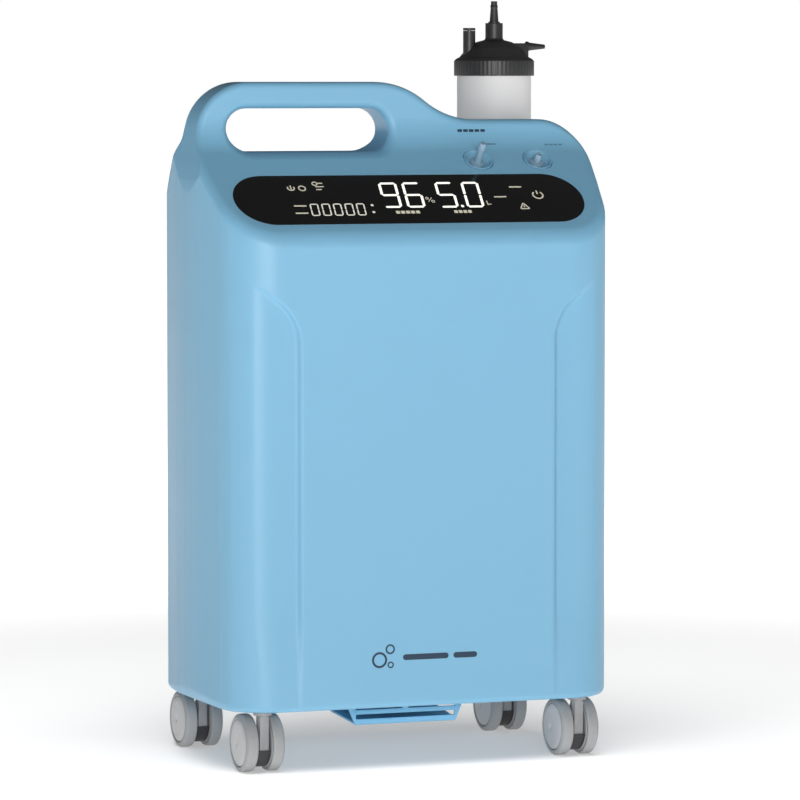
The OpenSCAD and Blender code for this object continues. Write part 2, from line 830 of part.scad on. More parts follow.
module caster_axle(x, y) {
    color(steel_grey) translate([x, y, wheel_r]) rotate([0, 90, 0])
        cylinder(d = axle_d, h = wheel_gap + 2 * wheel_w - 6, $fn = 48, center = true);
}

// One nylon wheel with its domed outer face; dir points away from the caster's middle
module caster_wheel(x, y, dir) {
    color([0.80, 0.81, 0.82]) translate([x + dir * wheel_offset, y, wheel_r])
        rotate([0, dir * 90, 0]) difference() {
            rotate_extrude($fn = 96) polygon([
                [0, -wheel_w / 2], [wheel_r - 3, -wheel_w / 2], [wheel_r - 1, -wheel_w / 2 + 1],
                [wheel_r, -wheel_w / 2 + 3], [wheel_r, wheel_w / 2 - 5.5], [wheel_r - 1.5, wheel_w / 2 - 3],
                [wheel_r - 5, wheel_w / 2 - 1.3], [wheel_r - 12, wheel_w / 2 - 0.3], [0, wheel_w / 2]
            ]);
            translate([0, 0, -wheel_w / 2 - 1])
                cylinder(r = axle_d / 2 + running_fit, h = wheel_w - 1.5, $fn = 48);
            // Hollow between rim and hub on the inner side
            translate([0, 0, -wheel_w / 2 - 1]) tube(wheel_r - 4, axle_d / 2 + 3.5, 7);
        }
}

left_x = -track / 2;
right_x = track / 2;

// ---- Works ------------------------------------------------------------------------------

box_x0 = -128;
box_x1 = 58;
// The box keeps clear of the front, and of the inlet and the breaker at the back
box_y0 = 28 - half_d;
box_y1 = half_d - breaker_l - wall - 1;
box_z0 = plate_z + plate_t + 0.1;
box_h = 196;
box_t = 4;
shaft_x = (box_x0 + box_x1) / 2;
shaft_y = 0;
shaft_z = box_z0 + 100;
shaft_r = 6;
motor_r = motor_d / 2;
mount_h = 16;
foot_z = box_z0 + box_t + mount_h;
head_w = 30;
fan_h = 32;
fan_z = box_z0 + box_h + box_t;

// Steel box that keeps the compressor's noise in, with an outlet to the hood
module sound_box() {
    color([0.62, 0.64, 0.66]) difference() {
        translate([box_x0, box_y0, box_z0]) cube([box_x1 - box_x0, box_y1 - box_y0, box_h]);
        translate([box_x0 + box_t, box_y0 + box_t, box_z0 + box_t])
            cube([box_x1 - box_x0 - 2 * box_t, box_y1 - box_y0 - 2 * box_t, box_h]);
        translate([-hood_port_x, hood_y0 + 8, box_z0 - 1])
            cube([2 * hood_port_x, hood_y1 - hood_y0 - 16, 10]);
    }
}

module sound_box_lid() {
    color([0.66, 0.68, 0.70]) difference() {
        translate([box_x0, box_y0, box_z0 + box_h + 0.02])
            cube([box_x1 - box_x0, box_y1 - box_y0, box_t - 0.04]);
        translate([shaft_x, shaft_y, box_z0]) cylinder(d = fan_d, h = big, $fn = 96);
    }
}

module along_shaft(x0) { translate([x0, shaft_y, shaft_z]) rotate([0, 90, 0]) children(); }

module compressor_motor() {
    color([0.70, 0.71, 0.73]) difference() {
        union() {
            along_shaft(shaft_x - motor_l / 2) cylinder(r = motor_r, h = motor_l, $fn = 96);
            for (k = [0 : 5]) along_shaft(shaft_x - motor_l / 2 + 8 + 12 * k)
                cylinder(r = motor_r + 2.5, h = 4, $fn = 96);
            translate([shaft_x - 34, -46, foot_z]) cube([68, 92, shaft_z - foot_z - 20]);
            translate([shaft_x - 62, -58, foot_z]) cube([124, 116, 4]);
        }
        along_shaft(shaft_x - motor_l / 2 - 1) cylinder(r = motor_r - 8, h = motor_l + 2, $fn = 96);
    }
}

module compressor_rotor() {
    color([0.45, 0.46, 0.48]) {
        along_shaft(shaft_x - motor_l / 2 - head_w + 4)
            cylinder(r = shaft_r, h = motor_l + 2 * head_w - 8, $fn = 48);
        along_shaft(shaft_x - 28) cylinder(r = motor_r - 9, h = 56, $fn = 96);
    }
}

// Crankcase, cylinder and finned head at one end of the motor; dir points outward
module compressor_head(dir) {
    head_x = shaft_x + dir * (motor_l / 2 + head_w / 2 + 0.05);
    case_r = 34;
    color([0.76, 0.77, 0.78]) difference() {
        union() {
            along_shaft(head_x - head_w / 2) cylinder(r = case_r, h = head_w, $fn = 96);
            translate([head_x, shaft_y, shaft_z]) cylinder(r = head_w / 2 - 1, h = 66, $fn = 64);
            for (k = [0 : 3])
                translate([head_x - head_w / 2, -24, shaft_z + 46 + 6 * k]) cube([head_w, 48, 3]);
        }
        along_shaft(head_x - 20) cylinder(r = shaft_r + running_fit, h = 40, $fn = 48);
        // Room for the crank
        along_shaft(head_x - 8) cylinder(r = case_r - 8, h = 16, $fn = 96);
    }
}

module rubber_mounts() {
    color([0.12, 0.12, 0.13])
        for (x = [-1, 1], y = [-1, 1])
            translate([shaft_x + x * 54, y * 50, box_z0 + box_t])
                cylinder(r = 7, h = mount_h - 0.05, $fn = 48);
}

coil_r = 4;
coil_pitch = 20;
coil_runs = 6;
coil_len = 96;

// Aluminium tube in straight runs and bends, cooled by the fan
module heat_exchanger() {
    color([0.80, 0.81, 0.83])
        translate([shaft_x - coil_len / 2, -coil_pitch * (coil_runs - 1) / 2, fan_z + fan_h + 12]) {
            for (k = [0 : coil_runs - 1])
                translate([0, k * coil_pitch, 0]) rotate([0, 90, 0])
                    cylinder(r = coil_r, h = coil_len, $fn = 32);
            for (k = [0 : coil_runs - 2])
                translate([k % 2 == 0 ? coil_len : 0, (k + 0.5) * coil_pitch, 0])
                    rotate([0, 0, k % 2 == 0 ? -90 : 90])
                        rotate_extrude(angle = 180, $fn = 48)
                            translate([coil_pitch / 2, 0]) circle(r = coil_r, $fn = 32);
            // Feet down to the fan frame
            for (x = [8, coil_len - 8], k = [0, coil_runs - 1])
                translate([x, k * coil_pitch, -11.9]) cylinder(r = 2.5, h = 11.9, $fn = 24);
        }
}

module fan_frame() {
    side = fan_d + 8;
    color([0.13, 0.13, 0.14]) translate([shaft_x, shaft_y, fan_z + 0.02]) difference() {
        translate([-side / 2, -side / 2, 0]) cube([side, side, fan_h]);
        difference() {
            translate([0, 0, -1]) cylinder(d = fan_d, h = fan_h + 2, $fn = 96);
            for (a = [0 : 3]) rotate(45 + 90 * a) translate([-3, 0, 0]) cube([6, side, 3]);
            cylinder(r = 22, h = 5, $fn = 64);
        }
        translate([0, 0, -1]) cylinder(r = 3 + running_fit, h = 20, $fn = 48);
    }
}

module fan_rotor() {
    color([0.18, 0.18, 0.19]) translate([shaft_x, shaft_y, fan_z]) {
        translate([0, 0, 1]) cylinder(r = 3, h = 10, $fn = 48);
        translate([0, 0, 6]) cylinder(r = 22, h = fan_h - 9, $fn = 64);
        for (a = [0 : 6])
            rotate(a * 360 / 7) translate([0, 20, 8 + (fan_h - 12) / 2]) rotate([0, 40, 0])
                translate([-11, 0, -1]) cube([22, fan_d / 2 - 22, 2]);
    }
}

bed_x = 100;
bed_z = plate_z + plate_t + 12;

// Sieve-bed canister with end caps and ports
module sieve_bed(y) {
    color([0.74, 0.76, 0.79]) translate([bed_x, y, bed_z]) {
        cylinder(d = bed_d, h = bed_h, $fn = 96);
        for (z = [-6, bed_h - 6]) translate([0, 0, z]) cylinder(d = bed_d + 4, h = 12, $fn = 96);
        translate([0, 0, -11.9]) cylinder(r = 8, h = 12, $fn = 48);
    }
}

bed_gap = 6;
module sieve_bed_front() { sieve_bed(-bed_d - 2 * bed_gap); }
module sieve_bed_rear() { sieve_bed(0); }

tank_x = 152;
tank_y = -36;

module product_tank() {
    color([0.20, 0.21, 0.23]) translate([tank_x, tank_y, plate_z + plate_t + 0.05]) {
        cylinder(r = 18, h = 260, $fn = 64);
        translate([0, 0, 260]) cylinder(r1 = 18, r2 = 6, h = 12, $fn = 64);
        translate([0, 0, 272]) cylinder(r = 4, h = 12, $fn = 32);
    }
}

manifold_z = bed_z + bed_h + 6.05;

// Valve block on top of the beds with its solenoids
module valve_manifold() {
    color([0.60, 0.62, 0.60]) {
        translate([bed_x - 22, -bed_d - 2 * bed_gap - 18, manifold_z])
            cube([44, bed_d + 2 * bed_gap + 36, 18]);
        for (y = [-72, -40, -8])
            translate([bed_x - 4, y, manifold_z + 17.9]) cylinder(r = 9, h = 22, $fn = 48);
    }
}

board_x = box_x0;

// Main control board on edge, above the sound box's lid, with its larger parts
module control_board() {
    color([0.10, 0.38, 0.22]) {
        translate([board_x - 4, -70, fan_z + 0.05]) cube([1.8, 130, 110]);
        translate([board_x - 12, -50, fan_z + 20]) cube([8.1, 40, 30]);
        translate([board_x - 16, 10, fan_z + 60]) cube([12.1, 30, 34]);
        for (y = [-50, -26, -2]) translate([board_x - 10, y, fan_z + 78]) cube([6.1, 14, 20]);
    }
}

hose_r = 4;

// Silicone hose from the product tank up to the oxygen outlet
module product_hose() {
    x1 = tank_x;
    z0 = plate_z + plate_t + 276;
    z1 = manifold_z + 58;
    color([0.85, 0.86, 0.84]) difference() {
        union() {
            translate([x1, tank_y, z0]) cylinder(r = hose_r + 1.6, h = z1 - z0, $fn = 32);
            translate([x1, tank_y, z1]) sphere(r = hose_r + 1.6, $fn = 32);
            translate([oxygen_x, tank_y, z1]) rotate([0, 90, 0])
                cylinder(r = hose_r + 1.6, h = x1 - oxygen_x, $fn = 32);
            translate([oxygen_x, tank_y, z1]) sphere(r = hose_r + 1.6, $fn = 32);
        }
        translate([x1, tank_y, z0 - 1]) cylinder(r = hose_r + 0.05, h = 10, $fn = 32);
    }
}

front_shell();
rear_cover();
base_plate();
exhaust_hood();
cover_screws();
display_window();
display_board();
oxygen_cup();
oxygen_nozzle();
nebuliser_cup();
nebuliser_nozzle();
humidifier_jar();
humidifier_water();
humidifier_lid();
lid_gasket();
inlet_barb();
relief_cap();
relief_spring();
outlet_horn();
dip_tube();
diffuser();
filter_door();
intake_filter();
power_inlet();
breaker_body();
breaker_button();
caster_sockets();
caster_frame(left_x, front_axle_y);  // caster_frame_fl
caster_frame(right_x, front_axle_y);  // caster_frame_fr
caster_frame(left_x, rear_axle_y);  // caster_frame_rl
caster_frame(right_x, rear_axle_y);  // caster_frame_rr
caster_axle(left_x, front_axle_y);  // caster_axle_fl
caster_axle(right_x, front_axle_y);  // caster_axle_fr
caster_axle(left_x, rear_axle_y);  // caster_axle_rl
caster_axle(right_x, rear_axle_y);  // caster_axle_rr
caster_wheel(left_x, front_axle_y, -1);  // wheel_fl_outer
caster_wheel(left_x, front_axle_y, 1);  // wheel_fl_inner
caster_wheel(right_x, front_axle_y, 1);  // wheel_fr_outer
caster_wheel(right_x, front_axle_y, -1);  // wheel_fr_inner
caster_wheel(left_x, rear_axle_y, -1);  // wheel_rl_outer
caster_wheel(left_x, rear_axle_y, 1);  // wheel_rl_inner
caster_wheel(right_x, rear_axle_y, 1);  // wheel_rr_outer
caster_wheel(right_x, rear_axle_y, -1);  // wheel_rr_inner
sound_box();
sound_box_lid();
compressor_motor();
compressor_rotor();
compressor_head(-1);  // compressor_head_left
compressor_head(1);  // compressor_head_right
rubber_mounts();
heat_exchanger();
fan_frame();
fan_rotor();
sieve_bed_front();
sieve_bed_rear();
product_tank();
valve_manifold();
control_board();
product_hose();
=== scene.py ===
"""Looks of a five-litre oxygen concentrator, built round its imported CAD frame."""

import json
import math

import bmesh
import bpy
import numpy as np
from mathutils import Matrix, Vector


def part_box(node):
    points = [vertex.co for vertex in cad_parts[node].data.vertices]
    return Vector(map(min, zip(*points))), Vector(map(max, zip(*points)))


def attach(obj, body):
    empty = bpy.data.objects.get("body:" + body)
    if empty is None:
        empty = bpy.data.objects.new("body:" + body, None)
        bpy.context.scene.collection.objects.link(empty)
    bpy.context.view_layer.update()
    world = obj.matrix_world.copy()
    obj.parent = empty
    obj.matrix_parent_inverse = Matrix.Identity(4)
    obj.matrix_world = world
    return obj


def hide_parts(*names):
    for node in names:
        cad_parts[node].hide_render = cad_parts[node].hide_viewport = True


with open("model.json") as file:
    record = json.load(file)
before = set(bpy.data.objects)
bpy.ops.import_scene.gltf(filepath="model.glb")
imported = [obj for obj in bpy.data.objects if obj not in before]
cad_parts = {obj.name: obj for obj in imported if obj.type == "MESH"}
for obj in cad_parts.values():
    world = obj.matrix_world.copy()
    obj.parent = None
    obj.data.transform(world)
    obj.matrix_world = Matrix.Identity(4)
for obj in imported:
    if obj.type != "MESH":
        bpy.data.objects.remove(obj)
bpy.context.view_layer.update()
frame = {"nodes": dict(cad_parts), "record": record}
NODES = frame["nodes"]
MM = 0.001


def corners_mm(node):
    """Lowest and highest corners of a CAD node, in millimetres."""
    lo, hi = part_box(node)
    return np.array(lo) / MM, np.array(hi) / MM


# ---- Sizes, in millimetres and radians -----------------------------------------------------

# Read from the frame
front_lo, front_hi = corners_mm("front_shell")
window_lo, window_hi = corners_mm("display_window")
jar_lo, jar_hi = corners_mm("humidifier_jar")
lid_lo, lid_hi = corners_mm("humidifier_lid")
door_lo, door_hi = corners_mm("filter_door")
BASE_Z = front_lo[2]
TOP_Z = front_hi[2]
REAR_Y = -front_lo[1]
PART_Y = front_hi[1]
NICHE_Z = jar_lo[2]
JAR_X, JAR_Y = (jar_lo[0] + jar_hi[0]) / 2, (jar_lo[1] + jar_hi[1]) / 2
JAR_R = (jar_hi[0] - jar_lo[0]) / 2
LID_R = (lid_hi[0] - lid_lo[0]) / 2

# The front stands back by this much, so that what is printed on it stays inside the frame's box
PRINT_ROOM = 0.15
FRONT_Y = front_lo[1] + PRINT_ROOM

# Cabinet
HALF_W = 185.5
WALL = 2.6
FRONT_TAPER, FRONT_CORNER_R = 13.0, 46.0
REAR_TAPER, REAR_CORNER_R = 18.5, 52.0
BOW_X, BOW_Y, BOW_R = HALF_W + 3, -12.0, 260.0
BOTTOM_CORNER_R = 15.0
SHOULDER_DROP, SHOULDER_R = 33.0, 42.0
SHOULDER_Z = TOP_Z - SHOULDER_DROP
STEP_MID_X, STEP_ANGLE = 36.0, math.radians(38)
HANDLE_CORNER_X, HANDLE_CORNER_R = 18.5, 48.0
HANDLE_LEAN, LEAN_R = math.radians(11.7), 160.0
HANDLE_FRONT_Y, HANDLE_BACK_Y = -15.0, 26.0
CREASE_Z = 458.0
PANEL_TILT, PANEL_BLEND_R = math.radians(39.2), 40.0
REAR_SHOULDER_Z = CREASE_Z + 24
REAR_SLOPE, REAR_BLEND_R = math.radians(32.8), 8.0
FRONT_EDGE_R, REAR_EDGE_R = 7.0, 15.0
END_EDGE_R, SIDE_EDGE_R = 6.0, 0.1
SLOT_EDGE_R, FLANK_FOOT_R, FLANK_EDGE_R = 7.0, 3.0, 3.5

# Hand slot, stepped-back flanks and what is let into the cabinet
SLOT_X, SLOT_W, SLOT_H = -73.5, 149.0, 37.5
SLOT_Z = TOP_Z - 23 - SLOT_H / 2
FLANK_DEPTH, FLANK_X, FLANK_Z = 4.2, 118.0, 389.0
FLANK_RISE, FLANK_CORNER_R = 38.0 / 52.0, 16.0
FLANK_FADE_Z, FLANK_FULL_Z = 60.0, 150.0
NICHE_HALF, NICHE_Y = LID_R + 3.5, HANDLE_BACK_Y + 2
OUTLET_XS, OUTLET_S = (76.0, 132.0), 101.0
CUP_R, CUP_DEPTH = 13.2, 8.0
DOOR_Z, DOOR_HALF, DOOR_DEPTH = (door_lo[2] + door_hi[2] + 1) / 2, (60.0, 48.0), 9.0
INLET_X, INLET_Z, INLET_HALF = 92.0, 88.0, (14.3, 10.8)
BREAKER_X, BREAKER_R = 52.0, 6.3
SOCKET_DEPTH = 20.0
SCREW_XS, SCREW_Z = (SLOT_X - SLOT_W / 2 - 14, SLOT_X + SLOT_W / 2 + 22), SLOT_Z - 12
SCREW_PIT_R, SCREW_PIT_DEPTH = 4.4, 3.5
DUCT_Y, DUCT_HALF, DUCT_RISE = -25.0, (42.0, 20.0), 8.0

# The sloped panel: across, up the slope, out of it, and the middle of its lower edge
PANEL_U = Vector((1, 0, 0))
PANEL_V = Vector((0, math.cos(PANEL_TILT), math.sin(PANEL_TILT)))
PANEL_N = Vector((0, -math.sin(PANEL_TILT), math.cos(PANEL_TILT)))
PANEL_O = Vector((0, FRONT_Y, CREASE_Z))


def panel_point(x, s):
    """A point on the sloped panel: x across, s up the slope from the crease."""
    return PANEL_O + PANEL_U * x + PANEL_V * s


# ---- The cabinet's form as a signed distance -----------------------------------------------

def fillet(before, corner, after, r, step, share=None):
    """Points of the arc that rounds off a corner, kept to a share of its sides where one is given."""
    before, corner, after = (np.array(point, float) for point in (before, corner, after))
    length0, length1 = np.linalg.norm(corner - before), np.linalg.norm(after - corner)
    d0, d1 = (corner - before) / length0, (after - corner) / length1
    turn = math.atan2(d0[0] * d1[1] - d0[1] * d1[0], float(d0 @ d1))
    if abs(turn) < 1e-3:
        return [corner]
    if share is not None:
        r = min(r, share * min(length0, length1) / math.tan(abs(turn) / 2))
    start = corner - d0 * r * math.tan(abs(turn) / 2)
    centre = start + math.copysign(r, turn) * np.array([-d0[1], d0[0]])
    v = start - centre
    steps = max(2, math.ceil(abs(turn) / step))
    points = []
    for k in range(steps + 1):
        a = turn * k / steps
        ca, sa = math.cos(a), math.sin(a)
        points.append(centre + [v[0] * ca - v[1] * sa, v[0] * sa + v[1] * ca])
    return points


def round_outline(corners, step=math.radians(4)):
    """Points of a counter-clockwise outline of (x, y, radius) corners."""
    out = []
    for i, (x, y, r) in enumerate(corners):
        after = corners[(i + 1) % len(corners)]
        out += fillet(corners[i - 1][:2], (x, y), after[:2], r, step)
    return np.array(out)


def plan_outline():
    """Flat front, gently bowed sides, large corners."""
    return round_outline([
        (-HALF_W + FRONT_TAPER, FRONT_Y, FRONT_CORNER_R), (HALF_W - FRONT_TAPER, FRONT_Y, FRONT_CORNER_R),
        (BOW_X, BOW_Y, BOW_R),
        (HALF_W - REAR_TAPER, REAR_Y, REAR_CORNER_R), (-HALF_W + REAR_TAPER, REAR_Y, REAR_CORNER_R),
        (-BOW_X, BOW_Y, BOW_R),
    ])


def front_outline():
    """Low right shoulder, and a step up to the leaning handle."""
    step_half = SHOULDER_DROP / 2 / math.tan(STEP_ANGLE)
    step_r = 0.98 * math.hypot(step_half, SHOULDER_DROP / 2) / math.tan(STEP_ANGLE / 2)
    lean_z = TOP_Z - HANDLE_CORNER_X / math.tan(HANDLE_LEAN)
    return round_outline([
        (-HALF_W, BASE_Z, BOTTOM_CORNER_R), (HALF_W, BASE_Z, BOTTOM_CORNER_R),
        (HALF_W, SHOULDER_Z, SHOULDER_R),
        (STEP_MID_X + step_half, SHOULDER_Z, step_r), (STEP_MID_X - step_half, TOP_Z, step_r),
        (-HALF_W + HANDLE_CORNER_X, TOP_Z, HANDLE_CORNER_R), (-HALF_W, lean_z, LEAN_R),
    ])


def side_outline(past=12.0):
    """Slopes and handle walls; its other faces stand past those of the plan and the front."""
    slope_top_z = REAR_SHOULDER_Z + (REAR_Y - HANDLE_BACK_Y) * math.tan(REAR_SLOPE)
    blend_z = CREASE_Z + (HANDLE_FRONT_Y - FRONT_Y) * math.tan(PANEL_TILT)
    front_y, rear_y = FRONT_Y - past, REAR_Y + past
    low_z, high_z = BASE_Z - past, TOP_Z + past
    front_z = CREASE_Z - past * math.tan(PANEL_TILT)
    rear_z = REAR_SHOULDER_Z - past * math.tan(REAR_SLOPE)
    sharp = 0.1
    return round_outline([
        (front_y, low_z, sharp), (rear_y, low_z, sharp), (rear_y, rear_z, sharp),
        (HANDLE_BACK_Y, slope_top_z, REAR_BLEND_R), (HANDLE_BACK_Y, high_z, sharp),
        (HANDLE_FRONT_Y, high_z, sharp), (HANDLE_FRONT_Y, blend_z, PANEL_BLEND_R),
        (front_y, front_z, sharp),
    ])


def outline_distance(pts, u, v):
    """Signed distance from points (u, v) to a closed outline, negative inside."""
    best = np.full(u.shape, 1e9)
    inside = np.zeros(u.shape, bool)
    for a, b in zip(pts, np.roll(pts, -1, axis=0)):
        e = b - a
        length2 = float(e @ e)
        if length2 < 1e-12:
            continue
        t = np.clip(((u - a[0]) * e[0] + (v - a[1]) * e[1]) / length2, 0, 1)
        du = u - (a[0] + t * e[0])
        dv = v - (a[1] + t * e[1])
        np.minimum(best, du * du + dv * dv, out=best)
        if a[1] != b[1]:
            spans = (a[1] <= v) != (b[1] <= v)
            inside ^= spans & (u < a[0] + (v - a[1]) * e[0] / e[1])
    d = np.sqrt(best)
    return np.where(inside, -d, d)


class Table:
    """An outline's distance on a fine grid, read back by linear interpolation."""

    def __init__(self, pts, step=0.5, margin=12.0):
        self.lo = pts.min(0) - margin
        size = np.ceil((pts.max(0) + margin - self.lo) / step).astype(int) + 1
        self.step = step
        us = self.lo[0] + step * np.arange(size[0])
        vs = self.lo[1] + step * np.arange(size[1])
        self.values = outline_distance(pts, *np.meshgrid(us, vs, indexing="ij"))

    def __call__(self, u, v):
        fu = np.clip((u - self.lo[0]) / self.step, 0, self.values.shape[0] - 1.001)
        fv = np.clip((v - self.lo[1]) / self.step, 0, self.values.shape[1] - 1.001)
        i, j = fu.astype(int), fv.astype(int)
        fu, fv = fu - i, fv - j
        t = self.values
        low = t[i, j] * (1 - fu) + t[i + 1, j] * fu
        high = t[i, j + 1] * (1 - fu) + t[i + 1, j + 1] * fu
        return low * (1 - fv) + high * fv


def round_max(a, b, r):
    """Intersection of two distances with a fillet of radius r."""
    corner = np.hypot(np.maximum(a + r, 0), np.maximum(b + r, 0))
    return np.minimum(np.maximum(a, b), -r) + corner


def smooth(t):
    """Rises softly from 0 to 1 while t does."""
    t = np.clip(t, 0, 1)
    return t * t * (3 - 2 * t)


PLAN = Table(plan_outline())
FRONT = Table(front_outline())
SIDE = Table(side_outline())


def flank_region(x, z):
    """Distance to the outline of the stepped-back flanks, the same on both sides."""
    ax = np.abs(x)
    edge = FLANK_X - ax
    above = (z - FLANK_Z - (ax - FLANK_X) * FLANK_RISE) / math.hypot(1, FLANK_RISE)
    return round_max(edge, above, FLANK_CORNER_R)


def pocket(x, y, z, middle, half, floor_y):
    """Distance to a pocket that opens to the back: (x, z) middle, half sizes, and its floor."""
    sides = np.maximum(np.abs(x - middle[0]) - half[0], np.abs(z - middle[1]) - half[1])
    return np.maximum(sides, floor_y - y)


def bore(x, y, z, middle, r, floor_y):
    """Distance to a round hole that opens to the back."""
    return np.maximum(np.hypot(x - middle[0], z - middle[1]) - r, floor_y - y)


def recesses(x, y, z):
    """Distance to each space let into the cabinet, with the radius of its edge."""
    in_niche = round_max(np.abs(x - JAR_X) - NICHE_HALF, NICHE_Y - y, 5.0)
    yield round_max(in_niche, NICHE_Z - z, 4.0), 2.5
    s = (y - FRONT_Y) * PANEL_V.y + (z - CREASE_Z) * PANEL_V.z
    n = (y - FRONT_Y) * PANEL_N.y + (z - CREASE_Z) * PANEL_N.z
    for cup_x in OUTLET_XS:
        yield np.maximum(np.hypot(x - cup_x, s - OUTLET_S) - CUP_R, -n - CUP_DEPTH), 1.0
    yield pocket(x, y, z, (0, DOOR_Z), DOOR_HALF, REAR_Y - DOOR_DEPTH), 0.8
    yield pocket(x, y, z, (INLET_X, INLET_Z), INLET_HALF, REAR_Y - SOCKET_DEPTH), 0.8
    yield bore(x, y, z, (BREAKER_X, INLET_Z), BREAKER_R, REAR_Y - SOCKET_DEPTH), 0.6
    for screw_x in SCREW_XS:
        yield bore(x, y, z, (screw_x, SCREW_Z), SCREW_PIT_R, PART_Y - SCREW_PIT_DEPTH), 0.8
    in_duct = np.maximum(np.abs(x) - DUCT_HALF[0], np.abs(y - DUCT_Y) - DUCT_HALF[1])
    yield np.maximum(in_duct, z - BASE_Z - DUCT_RISE), 1.0


def cabinet_distance(x, y, z, plan, front, side):
    """The whole cabinet, given its three outlines' distances at the same points.

    Its edges are rounder at the back, and along the sides the front outline adds no edge.
    """
    at_back = smooth((y - 40) / 50)
    along_sides = smooth((z - BASE_Z - 3) / 12) * (1 - smooth((z - SHOULDER_Z + SHOULDER_R) / 40))
    d = round_max(plan, side, FRONT_EDGE_R + (REAR_EDGE_R - FRONT_EDGE_R) * at_back)
    d = round_max(d, front, END_EDGE_R + (SIDE_EDGE_R - END_EDGE_R) * along_sides)
    slot = np.hypot(np.maximum(np.abs(x - SLOT_X) - (SLOT_W - SLOT_H) / 2, 0), z - SLOT_Z)
    d = round_max(d, SLOT_H / 2 - slot, SLOT_EDGE_R)
    depth = FLANK_DEPTH * smooth((z - FLANK_FADE_Z) / (FLANK_FULL_Z - FLANK_FADE_Z))
    flank = round_max(flank_region(x, z), y - FRONT_Y - depth, FLANK_FOOT_R)
    d = round_max(d, -flank, FLANK_EDGE_R)
    for recess, edge_r in recesses(x, y, z):
        d = round_max(d, -recess, edge_r)
    return d


def field(p):
    """Distance to the cabinet at each point of an array."""
    x, y, z = p[:, 0], p[:, 1], p[:, 2]
    return cabinet_distance(x, y, z, PLAN(x, y), FRONT(x, z), SIDE(y, z))


def gradient(p, h=0.5):
    """Outward direction of the cabinet's skin at each point of an array."""
    g = np.stack([field(p + h * e) - field(p - h * e) for e in np.eye(3)], 1)
    return g / np.maximum(np.linalg.norm(g, axis=1, keepdims=True), 1e-9)


def axis_lines(*spans):
    """Grid lines along one axis: each span is (start, end, step), end to end."""
    lines = [np.linspace(a, b, max(1, round((b - a) / step)) + 1)[:-1] for a, b, step in spans]
    return np.concatenate(lines + [[spans[-1][1]]])


def surface_net(xs, ys, zs):
    """Quads round the zero surface of the field: one vertex for each cell that it crosses."""
    plan = PLAN(*np.meshgrid(xs, ys, indexing="ij"))[:, :, None]
    front = FRONT(*np.meshgrid(xs, zs, indexing="ij"))[:, None, :]
    side = SIDE(*np.meshgrid(ys, zs, indexing="ij"))[None, :, :]
    value = cabinet_distance(
        xs[:, None, None], ys[None, :, None], zs[None, None, :], plan, front, side
    )
    value = np.where(np.abs(value) < 1e-6, 1e-6, value)
    lines = (xs, ys, zs)
    cells = tuple(n - 1 for n in value.shape)
    total = np.zeros(cells + (3,))
    count = np.zeros(cells, int)
    crossings = []
    for axis in range(3):
        lo = np.take(value, range(value.shape[axis] - 1), axis)
        hi = np.take(value, range(1, value.shape[axis]), axis)
        at = np.argwhere((lo < 0) != (hi < 0))
        f0, f1 = lo[tuple(at.T)], hi[tuple(at.T)]
        pos = np.stack([lines[k][at[:, k]] for k in range(3)], 1)
        step = lines[axis][at[:, axis] + 1] - lines[axis][at[:, axis]]
        pos[:, axis] += step * f0 / (f0 - f1)
        b, c = (axis + 1) % 3, (axis + 2) % 3
        around = []
        for db, dc in ((0, 0), (-1, 0), (-1, -1), (0, -1)):
            cell = at.copy()
            cell[:, b] += db
            cell[:, c] += dc
            around.append(cell)
        ok = np.all([np.all((cell >= 0) & (cell < cells), axis=1) for cell in around], axis=0)
        for cell in around:
            np.add.at(total, tuple(cell[ok].T), pos[ok])
            np.add.at(count, tuple(cell[ok].T), 1)
        crossings.append(([cell[ok] for cell in around], f0[ok] < 0))
    used = count > 0
    index = np.full(cells, -1)
    index[used] = np.arange(used.sum())
    verts = total[used] / count[used][:, None]
    faces = []
    for around, leaving in crossings:
        quad = np.stack([index[tuple(cell.T)] for cell in around], 1)
        quad[~leaving] = quad[~leaving][:, ::-1]
        faces.append(quad)
    return verts, np.concatenate(faces)


def settle(verts, rounds=2):
    """Moves points onto the zero surface."""
    for _ in range(rounds):
        verts = verts - gradient(verts) * np.clip(field(verts), -1.5, 1.5)[:, None]
    return verts


# ---- Mesh helpers --------------------------------------------------------------------------

def new_piece(name, mesh):
    """A mesh put in the scene."""
    piece = bpy.data.objects.new(name, mesh)
    bpy.context.scene.collection.objects.link(piece)
    return piece


def mesh_from(name, verts, faces, scale=MM):
    """A mesh from points, in millimetres unless another scale is given."""
    mesh = bpy.data.meshes.new(name)
    mesh.from_pydata([tuple(Vector(v) * scale) for v in verts], [], [list(map(int, f)) for f in faces])
    mesh.validate()
    mesh.update()
    return mesh


def finish_mesh(piece, sharp=35):
    """Outward normals, and smooth shading up to a corner of so many degrees."""
    bm = bmesh.new()
    bm.from_mesh(piece.data)
    bmesh.ops.recalc_face_normals(bm, faces=bm.faces)
    bm.to_mesh(piece.data)
    bm.free()
    piece.data.shade_smooth()
    piece.data.set_sharp_from_angle(angle=math.radians(sharp))
    return piece


def applied(piece):
    """Applies the piece's modifiers to its mesh."""
    dg = bpy.context.evaluated_depsgraph_get()
    mesh = bpy.data.meshes.new_from_object(piece.evaluated_get(dg))
    piece.modifiers.clear()
    piece.data = mesh
    return piece


def bevelled(piece, width, segments=3, angle=30):
    """Rounds the edges that turn by more than the angle, in degrees."""
    bevel = piece.modifiers.new("edge", "BEVEL")
    bevel.width = width * MM
    bevel.segments = segments
    bevel.limit_method = "ANGLE"
    bevel.angle_limit = math.radians(angle)
    bevel.use_clamp_overlap = True
    applied(piece)
    return finish_mesh(piece)


